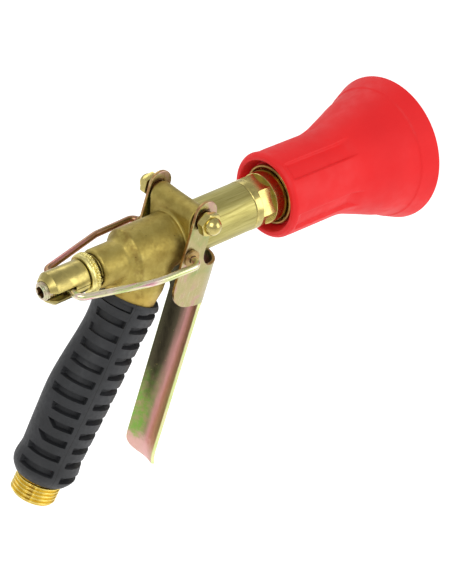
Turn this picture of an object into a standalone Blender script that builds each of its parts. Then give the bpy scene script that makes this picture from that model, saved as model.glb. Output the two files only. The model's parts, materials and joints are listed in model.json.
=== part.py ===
"""Trigger spray gun with a bell guard, as an assembly of separate named solids.

Frame: the origin is the centre of the inlet thread's end face. The barrel lies along +X and
points at the outlet, +Z is up, +Y is left. The handle leans forward from the origin up to the
barrel.

All sizes below are in millimetres and meshes are written in metres. Stations along the barrel
are measured from the lever's pivot, stations along the handle from the thread's end.
"""

import math

import bmesh
import bpy
from mathutils import Matrix, Vector

MM = 0.001
GAP = 0.3                            # clearance between pieces that touch

# --- layout -----------------------------------------------------------------------------------
HANDLE_LEAN = math.radians(30.0)     # handle axis to the vertical
HANDLE_LENGTH = 125.0                # thread end to the barrel's axis, along the handle
HANDLE_OFFSET = 16.0                 # where the handle meets the barrel, behind the pivot
BARREL_Z = HANDLE_LENGTH * math.cos(HANDLE_LEAN)
PIVOT_X = HANDLE_LENGTH * math.sin(HANDLE_LEAN) + HANDLE_OFFSET
PIVOT_UP = 15.0                      # lever pivot above the barrel's axis
LEVER_LEAN = math.radians(16.5)      # lever's own axis to the vertical, at rest

# --- forged body --------------------------------------------------------------------------------
NECK_REAR = -45.0
NECK_R = 8.6
STEP_REAR = -32.6
STEP_FRONT = -29.0
BARREL_R = 12.0
ARM_HALF_X = 5.65
ARM_HALF_Y = 13.2
ARM_FOOT = -1.0
ARM_TOP = 19.6
TUBE_R = 11.1
TUBE_END_R = 11.3
TUBE_END = 35.7
GLAND_BORE_R = 6.9
GLAND_BORE_FRONT = -34.5
CHAMBER_R = 6.3
CHAMBER_FRONT = -8.0
PASSAGE_R = 5.5
SPIGOT_BORE_R = 8.3
SPIGOT_BORE_REAR = 27.0

# --- handle and grip ------------------------------------------------------------------------------
INLET_BORE_R = 6.5
INLET_BORE_DEPTH = 11.0
WATERWAY_R = 3.8
THREAD_R = 10.4775                   # 1/2 inch pipe thread, 20.955 mm over the crests
THREAD_LENGTH = 10.2
UNDERCUT_R = 9.2
PIPE_FOOT = 12.0
PIPE_R = 9.6
STUB_R = 13.3
STUB_FOOT = 100.0
GRIP_FOOT = 10.9
GRIP_TOP = 99.7
GRIP_BORE_R = 9.9
GRIP_SECTIONS = (
    # station, reach towards the fingers, reach towards the palm, half-width
    (GRIP_FOOT, 12.6, 12.6, 12.1),
    (GRIP_FOOT + 1.8, 14.0, 14.0, 13.4),
    (24.0, 14.3, 14.4, 13.7),
    (40.0, 14.9, 15.6, 13.9),
    (56.0, 15.4, 16.1, 14.0),
    (65.0, 15.9, 14.6, 13.8),
    (71.0, 16.1, 13.2, 13.6),
    (78.0, 16.8, 11.7, 13.2),
    (87.0, 17.8, 10.9, 12.7),
    (93.0, 18.3, 10.9, 12.6),
    (GRIP_TOP - 1.4, 18.6, 11.2, 12.8),
    (GRIP_TOP, 17.6, 10.7, 12.0),
)

# --- outlet adapter and nozzle --------------------------------------------------------------------
SPIGOT_R = 8.0
SPIGOT_REAR = 29.6
ADAPTER_REAR = 36.0
ADAPTER_RING_R = 11.6
HEX_REAR = 39.3
HEX_FRONT = 47.4
HEX_FLATS = 20.4
HEX_TURN = math.radians(3.0)
DRUM_R = 12.7
DRUM_REAR = 50.2
GROOVE_R = 12.0
GROOVE_REAR = 52.3
GROOVE_FRONT = 55.0
DRUM_FRONT = 59.8
NOSE_R = 9.0
NOSE_END = 67.2
SWIRL_CHAMBER_R = 6.5
SWIRL_CHAMBER_REAR = 58.6
CAP_REAR = 60.1
CAP_FLANGE_R = 15.0
CAP_R = 12.5
CAP_FRONT = 73.6
CAP_MOUTH_R = 5.0
PLATE_R = 8.7
PLATE_REAR = 68.6
PLATE_FRONT = 70.4
ORIFICE_R = 1.4

# --- bell guard -------------------------------------------------------------------------------------
GUARD_REAR = 50.0
GUARD_REAR_BORE_R = 16.9
COLLAR_R = 20.3
COLLAR_FRONT = 83.0
RIM_X = 129.3
RIM_R = 35.3
WALL = 2.4
FLANGE_REAR = 55.3
FLANGE_FRONT = 59.6
FLANGE_BORE_R = 13.0
CAVITY_R = 17.7
GUARD_PLAY_X = 57.5                  # the loose guard hangs down a little about this station
GUARD_DROOP = math.radians(1.0)

# --- lever: a half pipe with straight cheeks --------------------------------------------------------
PLATE = 1.5
LEVER_R = 15.7                       # outside, also half the lever's width
LEVER_CENTRE = 8.3                   # centre line of the half pipe, ahead of the pivot
EAR_BACK = -5.2
EAR_FRONT = 6.3
EAR_CROWN = (0.5, 2.7)               # centre of the ear's round top
EAR_CROWN_R = 5.8
PIVOT_HOLE_R = 4.0
HOOK_HOLE_R = 1.9

# --- wire yoke ----------------------------------------------------------------------------------------
WIRE_R = 1.5
HOOK_X = -6.5
HOOK_Z = -1.0
HOOK_END_Y = 13.5
ARM_Y = 22.2
KINK_X = -28.2
KINK_Y = 21.2
CROSS_X = -60.5
CROSS_Z = -0.4
CROSS_Y = 11.7
BEND_R = 3.4

# --- stem group -----------------------------------------------------------------------------------------
STEM_R = 2.5
STEM_HOLE_R = 2.85
STEM_REAR = -55.7
STEM_FRONT = 59.0
LOCK_RING_R = 8.7
LOCK_RING_FRONT = -47.1
LOCK_RING_REAR = -51.0
SLEEVE_R = 7.0
SLEEVE_FRONT = -51.4
SLEEVE_CHAMFER = -67.0
SLEEVE_REAR = -69.5
SLEEVE_END_R = 5.0
SLEEVE_BORE_R = 4.3
SLEEVE_BORE_FRONT = -56.2
SLOT_FRONT = -58.4
SLOT_WIDTH = 3.9
SCREW_R = 4.0
SCREW_TIP = -62.3
SCREW_REAR = -71.2
SOCKET_FLATS = 4.0
SOCKET_DEPTH = 4.2
SPRING_SEAT_REAR = -13.0
SPRING_SEAT_FRONT = -10.6
SPRING_SEAT_R = 5.8
SPRING_R = 4.5
SPRING_WIRE_R = 0.6
SPRING_TURNS = 6
NEEDLE_SHANK_R = 1.0

# --- pivot bolts ----------------------------------------------------------------------------------------
BOLT_SHANK_R = 3.0
BOLT_DEPTH = 9.0
BOLT_SHOULDER_R = 3.6
HEX_NUT_FLATS = 9.4
HEX_NUT_INNER = 17.3
HEX_NUT_OUTER = 20.4
DOME_R = 4.4
PIVOT_WASHER_R = 5.4

ROUND = 32
SMALL_ROUND = 20


# === materials ==========================================================================================

def material(name, colour, roughness, metallic):
    made = bpy.data.materials.new(name)
    made.use_nodes = True
    shader = made.node_tree.nodes["Principled BSDF"]
    shader.inputs["Base Color"].default_value = (*colour, 1.0)
    shader.inputs["Roughness"].default_value = roughness
    shader.inputs["Metallic"].default_value = metallic
    return made


def make_materials():
    return {
        "forged_brass": material("forged_brass", (0.40, 0.31, 0.10), 0.48, 1.0),
        "turned_brass": material("turned_brass", (0.72, 0.57, 0.22), 0.25, 1.0),
        "zinc_yellow": material("zinc_yellow", (0.62, 0.55, 0.33), 0.30, 1.0),
        "red_plastic": material("red_plastic", (0.80, 0.03, 0.03), 0.42, 0.0),
        "grip_rubber": material("grip_rubber", (0.035, 0.036, 0.038), 0.62, 0.0),
        "steel": material("steel", (0.50, 0.50, 0.50), 0.30, 1.0),
        "seal_rubber": material("seal_rubber", (0.015, 0.015, 0.015), 0.55, 0.0),
    }


# === mesh tools =========================================================================================

def turned(profile, axis="X", segments=ROUND):
    """Solid of revolution from a closed loop of (station, radius) points."""
    mesh = bmesh.new()
    rings = []
    for station, radius in profile:
        if radius == 0.0:
            rings.append([mesh.verts.new((station, 0.0, 0.0))])
            continue
        ring = []
        for i in range(segments):
            angle = 2.0 * math.pi * i / segments
            ring.append(mesh.verts.new((station, radius * math.cos(angle), radius * math.sin(angle))))
        rings.append(ring)
    for k, ring in enumerate(rings):
        following = rings[(k + 1) % len(rings)]
        if len(ring) == 1 and len(following) == 1:
            continue
        for i in range(segments):
            j = (i + 1) % segments
            corners = [ring[i % len(ring)], ring[j % len(ring)]]
            corners += [following[j % len(following)], following[i % len(following)]]
            mesh.faces.new(list(dict.fromkeys(corners)))
    if axis == "Y":
        mesh.transform(Matrix.Rotation(math.radians(90.0), 4, "Z"))
    if axis == "Z":
        mesh.transform(Matrix.Rotation(math.radians(-90.0), 4, "Y"))
    return mesh


def prism(outline, low, high, along):
    """Prism: the outline is in (y, z) along X, in (x, z) along Y and in (x, y) along Z."""
    def place(a, b, t):
        return {"X": (t, a, b), "Y": (a, t, b), "Z": (a, b, t)}[along]

    mesh = bmesh.new()
    near = [mesh.verts.new(place(a, b, low)) for a, b in outline]
    far = [mesh.verts.new(place(a, b, high)) for a, b in outline]
    mesh.faces.new(near)
    mesh.faces.new(far)
    count = len(outline)
    for i in range(count):
        j = (i + 1) % count
        mesh.faces.new((near[i], near[j], far[j], far[i]))
    return mesh


def swept(path, radius, sides):
    """Round bar along a list of points."""
    mesh = bmesh.new()
    points = [Vector(p) for p in path]
    rings = []
    normal = None
    for i, point in enumerate(points):
        before = points[max(i - 1, 0)]
        after = points[min(i + 1, len(points) - 1)]
        tangent = (after - before).normalized()
        if normal is None:
            normal = tangent.orthogonal().normalized()
        normal = (normal - tangent * normal.dot(tangent)).normalized()
        side = tangent.cross(normal)
        ring = []
        for k in range(sides):
            angle = 2.0 * math.pi * k / sides
            offset = normal * math.cos(angle) + side * math.sin(angle)
            ring.append(mesh.verts.new(point + offset * radius))
        rings.append(ring)
    for i in range(len(points) - 1):
        for k in range(sides):
            m = (k + 1) % sides
            mesh.faces.new((rings[i][k], rings[i][m], rings[i + 1][m], rings[i + 1][k]))
    mesh.faces.new(rings[0])
    mesh.faces.new(rings[-1])
    return mesh


def ring_mesh(station, ring_r, section_r, sides=8, segments=SMALL_ROUND):
    """Round-section ring about the barrel's axis."""
    return turned(arc((station, ring_r), section_r, 0.0, 360.0 * (sides - 1) / sides, sides - 1),
                  segments=segments)


def arc(centre, radius, start, stop, steps):
    """Points on an arc, angles in degrees."""
    points = []
    for i in range(steps + 1):
        angle = math.radians(start + (stop - start) * i / steps)
        points.append((centre[0] + radius * math.cos(angle), centre[1] + radius * math.sin(angle)))
    return points


def hexagon(flats, turn=0.0):
    return arc((0.0, 0.0), flats / math.sqrt(3.0), math.degrees(turn), math.degrees(turn) + 300.0, 5)


def rounded(corners, radius, steps):
    """A path through the corners with each inner corner replaced by a bend."""
    points = [Vector(p) for p in corners]
    path = [points[0]]
    for i in range(1, len(points) - 1):
        to_last = (points[i - 1] - points[i]).normalized()
        to_next = (points[i + 1] - points[i]).normalized()
        half = to_last.angle(to_next) / 2.0
        reach = radius / math.tan(half)
        start = points[i] + to_last * reach
        stop = points[i] + to_next * reach
        for k in range(steps + 1):
            t = k / steps
            path.append(start.lerp(points[i], t).lerp(points[i].lerp(stop, t), t))
    path.append(points[-1])
    return path


def empty(name, place, parent=None, turn_y=0.0):
    """An empty on a joint's axis or a part's own axis, placed in millimetres."""
    made = bpy.data.objects.new(name, None)
    made.empty_display_size = 0.01
    made.location = Vector(place) * MM
    made.rotation_euler = (0.0, turn_y, 0.0)
    made.parent = parent
    bpy.context.collection.objects.link(made)
    return made


def solid(name, mesh, finish, parent, smooth=35.0):
    """Make an object from a bmesh in millimetres, under its parent's frame."""
    bmesh.ops.recalc_face_normals(mesh, faces=mesh.faces)
    bmesh.ops.scale(mesh, vec=(MM, MM, MM), verts=mesh.verts)
    data = bpy.data.meshes.new(name)
    mesh.to_mesh(data)
    mesh.free()
    if finish is not None:
        data.materials.append(finish)
    if smooth:
        data.shade_smooth()
        data.set_sharp_from_angle(angle=math.radians(smooth))
    made = bpy.data.objects.new(name, data)
    made.parent = parent
    bpy.context.collection.objects.link(made)
    return made


def tool(name, mesh, parent):
    """A helper solid for a Boolean, left out of the assembly."""
    made = solid(name, mesh, None, parent, smooth=0.0)
    made.hide_render = True
    made.display_type = "WIRE"
    return made


def combine(target, helper, operation):
    step = target.modifiers.new(operation.lower() + "_" + helper.name, "BOOLEAN")
    step.operation = operation
    step.solver = "EXACT"
    step.object = helper


# === fixed pieces =========================================================================================

def make_body(mats, barrel, handle, pivot):
    """The forging: rear neck and barrel, cross arm, front tube and the handle with its thread."""
    outer = [(NECK_REAR, 0.0), (NECK_REAR, NECK_R - 0.6), (NECK_REAR + 0.6, NECK_R)]
    outer += [(STEP_REAR, NECK_R), (STEP_FRONT, BARREL_R), (0.0, BARREL_R)]
    outer += [(1.2, TUBE_R), (TUBE_END, TUBE_END_R), (TUBE_END, 0.0)]
    body = solid("body_forging", turned(outer), mats["forged_brass"], barrel)

    stalk = [(0.0, 0.0), (0.0, THREAD_R - 1.1), (1.1, THREAD_R), (THREAD_LENGTH, THREAD_R)]
    stalk += [(THREAD_LENGTH + 0.6, UNDERCUT_R), (PIPE_FOOT, UNDERCUT_R), (PIPE_FOOT, PIPE_R)]
    stalk += [(STUB_FOOT, PIPE_R), (STUB_FOOT, STUB_R), (HANDLE_LENGTH - 2.0, STUB_R)]
    stalk += [(HANDLE_LENGTH - 2.0, 0.0)]
    combine(body, tool("stalk_shape", turned(stalk, axis="Z"), handle), "UNION")

    top = arc((0.0, ARM_TOP - ARM_HALF_X), ARM_HALF_X, 0.0, 180.0, 10)
    outline = [(-ARM_HALF_X, ARM_FOOT), (ARM_HALF_X, ARM_FOOT)] + top
    arm = prism(outline, -ARM_HALF_Y, ARM_HALF_Y, "Y")
    combine(body, tool("arm_shape", arm, barrel), "UNION")

    bore = [(NECK_REAR - 2.0, 0.0), (NECK_REAR - 2.0, GLAND_BORE_R), (GLAND_BORE_FRONT, GLAND_BORE_R)]
    bore += [(GLAND_BORE_FRONT, CHAMBER_R), (CHAMBER_FRONT, CHAMBER_R), (CHAMBER_FRONT, PASSAGE_R)]
    bore += [(SPIGOT_BORE_REAR, PASSAGE_R), (SPIGOT_BORE_REAR, SPIGOT_BORE_R)]
    bore += [(TUBE_END + 2.0, SPIGOT_BORE_R), (TUBE_END + 2.0, 0.0)]
    combine(body, tool("barrel_bore", turned(bore, segments=24), barrel), "DIFFERENCE")

    waterway = [(-2.0, 0.0), (-2.0, INLET_BORE_R), (INLET_BORE_DEPTH, INLET_BORE_R)]
    waterway += [(INLET_BORE_DEPTH + 2.0, WATERWAY_R), (HANDLE_LENGTH - 4.0, WATERWAY_R)]
    waterway += [(HANDLE_LENGTH - 4.0, 0.0)]
    combine(body, tool("handle_bore", turned(waterway, axis="Z", segments=24), handle), "DIFFERENCE")

    for side, label in ((-1.0, "right"), (1.0, "left")):
        depth = side * (ARM_HALF_Y - BOLT_DEPTH - 0.6)
        mouth = side * (ARM_HALF_Y + 1.0)
        hole = [(depth, 0.0), (depth, BOLT_SHANK_R + GAP), (mouth, BOLT_SHANK_R + GAP), (mouth, 0.0)]
        cutter = turned(hole, axis="Y", segments=SMALL_ROUND)
        combine(body, tool("bolt_hole_" + label, cutter, pivot), "DIFFERENCE")
    return body


def make_grip(mats, handle):
    """Rubber sleeve over the handle pipe, fuller towards the palm in its lower half."""
    mesh = bmesh.new()
    rings = []
    for station, front, back, side in GRIP_SECTIONS:
        ring = []
        for i in range(ROUND):
            angle = 2.0 * math.pi * i / ROUND
            reach = front if math.cos(angle) > 0.0 else back
            ring.append(mesh.verts.new((reach * math.cos(angle), side * math.sin(angle), station)))
        rings.append(ring)
    for station in (GRIP_TOP, GRIP_FOOT):
        ring = []
        for i in range(ROUND):
            angle = 2.0 * math.pi * i / ROUND
            ring.append(mesh.verts.new((GRIP_BORE_R * math.cos(angle), GRIP_BORE_R * math.sin(angle),
                                        station)))
        rings.append(ring)
    for k, ring in enumerate(rings):
        following = rings[(k + 1) % len(rings)]
        for i in range(ROUND):
            j = (i + 1) % ROUND
            mesh.faces.new((ring[i], ring[j], following[j], following[i]))
    return solid("grip_sleeve", mesh, mats["grip_rubber"], handle)


def make_gland(mats, barrel):
    """Gland nut, O-ring and washer that seal the stem in the rear neck."""
    nut = [(-45.2, STEM_HOLE_R), (-45.2, 6.0), (-44.6, 6.6), (-39.7, 6.6), (-39.7, STEM_HOLE_R)]
    solid("gland_nut", turned(nut, segments=24), mats["turned_brass"], barrel)
    solid("stem_seal", ring_mesh(-37.8, 4.5, 1.55), mats["seal_rubber"], barrel)
    washer = [(-35.9, STEM_HOLE_R), (-35.9, 6.6), (-34.8, 6.6), (-34.8, STEM_HOLE_R)]
    solid("packing_washer", turned(washer, segments=24), mats["steel"], barrel)


def make_spring(mats, barrel):
    """Return spring between the packing washer and the seat on the stem."""
    rear = GLAND_BORE_FRONT + 0.35 + SPRING_WIRE_R
    front = SPRING_SEAT_REAR - 0.35 - SPRING_WIRE_R
    steps = SPRING_TURNS * 12
    path = []
    for i in range(steps + 1):
        t = i / steps
        angle = 2.0 * math.pi * SPRING_TURNS * t
        path.append((rear + (front - rear) * t, SPRING_R * math.cos(angle), SPRING_R * math.sin(angle)))
    solid("return_spring", swept(path, SPRING_WIRE_R, 6), mats["steel"], barrel, smooth=50.0)


def make_outlet(mats, barrel):
    """Adapter screwed into the front tube, with the swirl core and the orifice held by a cap."""
    outer = [(SPIGOT_REAR, PASSAGE_R), (SPIGOT_REAR, SPIGOT_R), (ADAPTER_REAR, SPIGOT_R)]
    outer += [(ADAPTER_REAR, ADAPTER_RING_R), (HEX_REAR, ADAPTER_RING_R), (HEX_REAR, 9.9)]
    outer += [(HEX_FRONT, 9.9), (DRUM_REAR, DRUM_R), (GROOVE_REAR, DRUM_R), (GROOVE_REAR, GROOVE_R)]
    outer += [(GROOVE_FRONT, GROOVE_R), (GROOVE_FRONT, DRUM_R), (DRUM_FRONT, DRUM_R)]
    outer += [(DRUM_FRONT, NOSE_R), (NOSE_END, NOSE_R), (NOSE_END, SWIRL_CHAMBER_R)]
    outer += [(SWIRL_CHAMBER_REAR, SWIRL_CHAMBER_R), (SWIRL_CHAMBER_REAR, PASSAGE_R)]
    adapter = solid("outlet_adapter", turned(outer), mats["turned_brass"], barrel)
    hexes = prism(hexagon(HEX_FLATS, HEX_TURN), HEX_REAR - 0.2, HEX_FRONT + 0.2, "X")
    hex_tool = tool("adapter_hex", hexes, barrel)
    combine(adapter, hex_tool, "UNION")
    passage = [(SPIGOT_REAR - 1.0, 0.0), (SPIGOT_REAR - 1.0, PASSAGE_R), (SWIRL_CHAMBER_REAR, PASSAGE_R)]
    passage += [(SWIRL_CHAMBER_REAR, 0.0)]
    combine(adapter, tool("adapter_bore", turned(passage), barrel), "DIFFERENCE")

    solid("adapter_o_ring", ring_mesh(28.3, 7.05, 0.9), mats["seal_rubber"], barrel)

    core = [(63.2, 3.5), (63.2, 6.2), (66.4, 6.2), (66.4, 3.5)]
    solid("swirl_core", turned(core, segments=24), mats["turned_brass"], barrel)
    for i in range(4):
        angle = math.radians(45.0 + 90.0 * i)
        centre = Vector((0.0, math.cos(angle) * 6.4, math.sin(angle) * 6.4))
        groove = prism(arc((centre.y, centre.z), 1.1, 0.0, 315.0, 7), 62.0, 68.0, "X")
        cutter = tool("swirl_groove_" + str(i + 1), groove, barrel)
        combine(bpy.data.objects["swirl_core"], cutter, "DIFFERENCE")

    seal = [(67.5, 6.8), (67.5, PLATE_R), (68.3, PLATE_R), (68.3, 6.8)]
    solid("orifice_seal", turned(seal, segments=24), mats["seal_rubber"], barrel)
    plate = [(PLATE_REAR, ORIFICE_R), (PLATE_REAR, PLATE_R), (PLATE_FRONT, PLATE_R)]
    plate += [(PLATE_FRONT, ORIFICE_R + 0.9), (PLATE_FRONT - 0.9, ORIFICE_R)]
    solid("orifice_disc", turned(plate, segments=24), mats["steel"], barrel)

    cap = [(CAP_REAR, NOSE_R + GAP), (CAP_REAR, CAP_FLANGE_R), (CAP_REAR + 2.2, CAP_FLANGE_R)]
    cap += [(CAP_REAR + 3.4, CAP_R), (CAP_FRONT - 1.0, CAP_R), (CAP_FRONT, CAP_R - 1.0)]
    cap += [(CAP_FRONT, CAP_MOUTH_R + 1.2), (PLATE_FRONT + 0.3, CAP_MOUTH_R)]
    cap += [(PLATE_FRONT + 0.3, NOSE_R + GAP)]
    solid("nozzle_cap", turned(cap), mats["turned_brass"], barrel)


def make_spiral_ring(mats, barrel):
    """Two-turn flat retaining ring in the drum's groove."""
    ring = [(52.7, GROOVE_R + GAP), (52.7, 14.5), (54.6, 14.5), (54.6, GROOVE_R + GAP)]
    solid("spiral_ring", turned(ring), mats["steel"], barrel)


def make_guard(mats, guard):
    """Bell guard: round collar with an inner flange, opening to a wide rim."""
    outer = [(GUARD_REAR, GUARD_REAR_BORE_R), (GUARD_REAR, 17.9), (GUARD_REAR + 0.8, 19.0)]
    outer += [(GUARD_REAR + 2.6, 19.9), (GUARD_REAR + 5.5, COLLAR_R), (COLLAR_FRONT, COLLAR_R + 0.2)]
    outer += [(87.0, 20.8), (92.0, 21.8), (98.0, 23.8), (104.4, 26.0), (110.5, 28.2), (117.0, 30.2)]
    outer += [(119.8, 31.1), (120.8, 32.3), (RIM_X - 0.8, RIM_R), (RIM_X, RIM_R - 0.6)]
    inner = [(RIM_X, RIM_R - WALL - 0.4), (117.0, 27.8), (110.5, 25.7), (104.4, 23.5), (98.0, 21.3)]
    inner += [(92.0, 19.3), (87.0, 18.2), (COLLAR_FRONT, CAVITY_R), (FLANGE_FRONT, CAVITY_R)]
    inner += [(FLANGE_FRONT, FLANGE_BORE_R), (FLANGE_REAR, FLANGE_BORE_R), (FLANGE_REAR, 16.0)]
    profile = [(station - GUARD_PLAY_X, radius) for station, radius in outer + inner]
    solid("cone_guard", turned(profile, segments=48), mats["red_plastic"], guard)


def make_pivot_bolt(mats, pivot, side, label):
    """Domed hexagon bolt that the lever turns on, with a washer under its head."""
    inner = ARM_HALF_Y - BOLT_DEPTH
    shank = [(inner, 0.0), (inner, BOLT_SHANK_R - 0.6), (inner + 0.6, BOLT_SHANK_R)]
    shank += [(ARM_HALF_Y + 0.3, BOLT_SHANK_R), (ARM_HALF_Y + 0.3, BOLT_SHOULDER_R)]
    shank += [(HEX_NUT_INNER + 0.2, BOLT_SHOULDER_R), (HEX_NUT_INNER + 0.2, 0.0)]
    shank = [(station * side, radius) for station, radius in shank]
    bolt = solid("pivot_bolt_" + label, turned(shank, axis="Y", segments=SMALL_ROUND),
                 mats["turned_brass"], pivot)
    outline = hexagon(HEX_NUT_FLATS, math.radians(13.0))
    head = prism(outline, side * HEX_NUT_INNER, side * HEX_NUT_OUTER, "Y")
    combine(bolt, tool("bolt_hex_" + label, head, pivot), "UNION")
    dome = [(HEX_NUT_OUTER - 0.2, 0.0)] + [(HEX_NUT_OUTER - 0.2, DOME_R)]
    dome += [(HEX_NUT_OUTER + a, r) for a, r in arc((0.0, 0.0), DOME_R, 85.0, 10.0, 5)]
    dome += [(HEX_NUT_OUTER + DOME_R, 0.0)]
    dome = [(station * side, radius) for station, radius in dome]
    combine(bolt, tool("bolt_dome_" + label, turned(dome, axis="Y", segments=SMALL_ROUND), pivot), "UNION")

    washer = [(16.0, BOLT_SHOULDER_R + GAP), (16.0, PIVOT_WASHER_R), (17.0, PIVOT_WASHER_R)]
    washer += [(17.0, BOLT_SHOULDER_R + GAP)]
    washer = [(station * side, radius) for station, radius in washer]
    solid("pivot_washer_" + label, turned(washer, axis="Y", segments=24), mats["turned_brass"], pivot)


# === lever ==================================================================================================

def lever_section():
    """Half pipe with straight cheeks, in the lever's own (x, y)."""
    outer = arc((LEVER_CENTRE, 0.0), LEVER_R, -90.0, 90.0, 20)
    inner = arc((LEVER_CENTRE, 0.0), LEVER_R - PLATE, 90.0, -90.0, 20)
    start = [(EAR_BACK - 2.0, -LEVER_R)]
    middle = [(EAR_BACK - 2.0, LEVER_R), (EAR_BACK - 2.0, LEVER_R - PLATE)]
    return start + outer + middle + inner + [(EAR_BACK - 2.0, -LEVER_R + PLATE)]


def lever_side():
    """Side view that the folded sheet is trimmed to, in the lever's own (x, z)."""
    outline = [(EAR_BACK, -2.0)] + arc(EAR_CROWN, EAR_CROWN_R, 176.0, 4.0, 12)
    outline += [(EAR_FRONT, 0.0), (EAR_FRONT, -14.0), (6.6, -17.4), (7.8, -20.2), (9.4, -21.7)]
    outline += [(11.5, -22.4), (30.0, -22.4), (30.0, -137.4), (23.2, -137.4), (21.4, -135.8)]
    outline += [(20.0, -133.2), (19.5, -129.7), (19.5, -48.0), (18.7, -45.0), (16.6, -43.0), (13.5, -42.3)]
    outline += [(5.2, -42.2), (2.2, -41.6), (-1.0, -39.8), (-3.6, -37.0), (-5.0, -33.6), (EAR_BACK, -30.5)]
    return outline


def make_lever(mats, pivot_lever):
    lever = solid("lever", prism(lever_section(), -140.0, 14.0, "Z"), mats["zinc_yellow"], pivot_lever)
    trim = tool("lever_trim", prism(lever_side(), -30.0, 30.0, "Y"), pivot_lever)
    combine(lever, trim, "INTERSECT")
    hole = [(-30.0, 0.0), (-30.0, PIVOT_HOLE_R), (30.0, PIVOT_HOLE_R), (30.0, 0.0)]
    combine(lever, tool("lever_pivot_hole", turned(hole, axis="Y", segments=24), pivot_lever), "DIFFERENCE")
    cos_lean = math.cos(LEVER_LEAN)
    sin_lean = math.sin(LEVER_LEAN)
    drop = HOOK_Z - PIVOT_UP
    hook = (HOOK_X * cos_lean - drop * sin_lean, HOOK_X * sin_lean + drop * cos_lean)
    eye = prism(arc(hook, HOOK_HOLE_R, 0.0, 337.5, 15), -30.0, 30.0, "Y")
    combine(lever, tool("lever_hook_hole", eye, pivot_lever), "DIFFERENCE")
    return lever


# === yoke and stem ============================================================================================

def make_yoke(mats, hook):
    """Bent wire from the lever's cheeks back to the stem sleeve."""
    dx = -HOOK_X
    dz = -HOOK_Z
    half = [(CROSS_X + dx, 0.0, CROSS_Z + dz), (CROSS_X + dx, CROSS_Y, CROSS_Z + dz)]
    half += [(KINK_X + dx, KINK_Y, 0.0), (0.0, ARM_Y, 0.0), (0.0, HOOK_END_Y, 0.0)]
    left = rounded(half, BEND_R, 5)
    right = [(x, -y, z) for x, y, z in reversed(left[1:])]
    solid("wire_yoke", swept(right + [tuple(p) for p in left], WIRE_R, 12), mats["zinc_yellow"], hook,
          smooth=50.0)
    for side, label in ((-1.0, "right"), (1.0, "left")):
        ring = [(16.05, WIRE_R + GAP), (16.05, 3.6), (16.9, 3.9), (17.4, 3.0), (17.4, WIRE_R + GAP)]
        ring = [(station * side, radius) for station, radius in ring]
        solid("hook_washer_" + label, turned(ring, axis="Y", segments=SMALL_ROUND), mats["steel"], hook)


def make_stem_group(mats, stem):
    """Everything that slides along the barrel's axis."""
    rod = [(STEM_REAR, 0.0), (STEM_REAR, STEM_R - 0.4), (STEM_REAR + 0.4, STEM_R), (STEM_FRONT, STEM_R)]
    rod += [(STEM_FRONT, NEEDLE_SHANK_R + GAP), (52.0, NEEDLE_SHANK_R + GAP), (51.4, 0.0)]
    solid("stem_rod", turned(rod, segments=SMALL_ROUND), mats["steel"], stem)
    needle = [(52.6, 0.0), (52.6, NEEDLE_SHANK_R), (60.7, NEEDLE_SHANK_R), (60.7, STEM_R)]
    needle += [(63.6, STEM_R), (69.2, 0.7), (69.4, 0.0)]
    solid("needle_tip", turned(needle, segments=SMALL_ROUND), mats["steel"], stem)
    seal = [(59.4, NEEDLE_SHANK_R + GAP), (59.4, 2.9), (60.3, 2.9), (60.3, NEEDLE_SHANK_R + GAP)]
    solid("needle_seal", turned(seal, segments=SMALL_ROUND), mats["seal_rubber"], stem)
    seat = [(SPRING_SEAT_REAR, STEM_HOLE_R), (SPRING_SEAT_REAR, SPRING_SEAT_R)]
    seat += [(SPRING_SEAT_FRONT, SPRING_SEAT_R), (SPRING_SEAT_FRONT, STEM_HOLE_R)]
    solid("spring_seat", turned(seat, segments=24), mats["steel"], stem)

    ring = [(LOCK_RING_REAR, STEM_HOLE_R), (LOCK_RING_REAR, LOCK_RING_R - 0.5)]
    ring += [(LOCK_RING_REAR + 0.5, LOCK_RING_R), (LOCK_RING_FRONT - 0.5, LOCK_RING_R)]
    ring += [(LOCK_RING_FRONT, LOCK_RING_R - 0.5), (LOCK_RING_FRONT, STEM_HOLE_R)]
    solid("lock_ring", turned(ring), mats["turned_brass"], stem)

    tube = [(SLEEVE_REAR, SLEEVE_BORE_R), (SLEEVE_REAR, SLEEVE_END_R), (SLEEVE_CHAMFER, SLEEVE_R)]
    tube += [(SLEEVE_FRONT - 0.4, SLEEVE_R), (SLEEVE_FRONT, SLEEVE_R - 0.4), (SLEEVE_FRONT, STEM_HOLE_R)]
    tube += [(SLEEVE_BORE_FRONT, STEM_HOLE_R), (SLEEVE_BORE_FRONT, SLEEVE_BORE_R)]
    sleeve = solid("stem_sleeve", turned(tube), mats["turned_brass"], stem)
    low = CROSS_Z - SLOT_WIDTH / 2.0
    high = CROSS_Z + SLOT_WIDTH / 2.0
    outline = [(SLEEVE_REAR - 2.0, low), (SLOT_FRONT, low), (SLOT_FRONT, high), (SLEEVE_REAR - 2.0, high)]
    combine(sleeve, tool("sleeve_slot", prism(outline, -12.0, 12.0, "Y"), stem), "DIFFERENCE")

    shape = [(SCREW_REAR, 0.0), (SCREW_REAR, SCREW_R - 0.6), (SCREW_REAR + 0.6, SCREW_R)]
    shape += [(SCREW_TIP - 0.8, SCREW_R), (SCREW_TIP, SCREW_R - 0.8), (SCREW_TIP, 0.0)]
    screw = solid("set_screw", turned(shape, segments=24), mats["zinc_yellow"], stem)
    socket = prism(hexagon(SOCKET_FLATS), SCREW_REAR - 1.0, SCREW_REAR + SOCKET_DEPTH, "X")
    combine(screw, tool("screw_socket", socket, stem), "DIFFERENCE")


# === assembly ===============================================================================================

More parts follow.
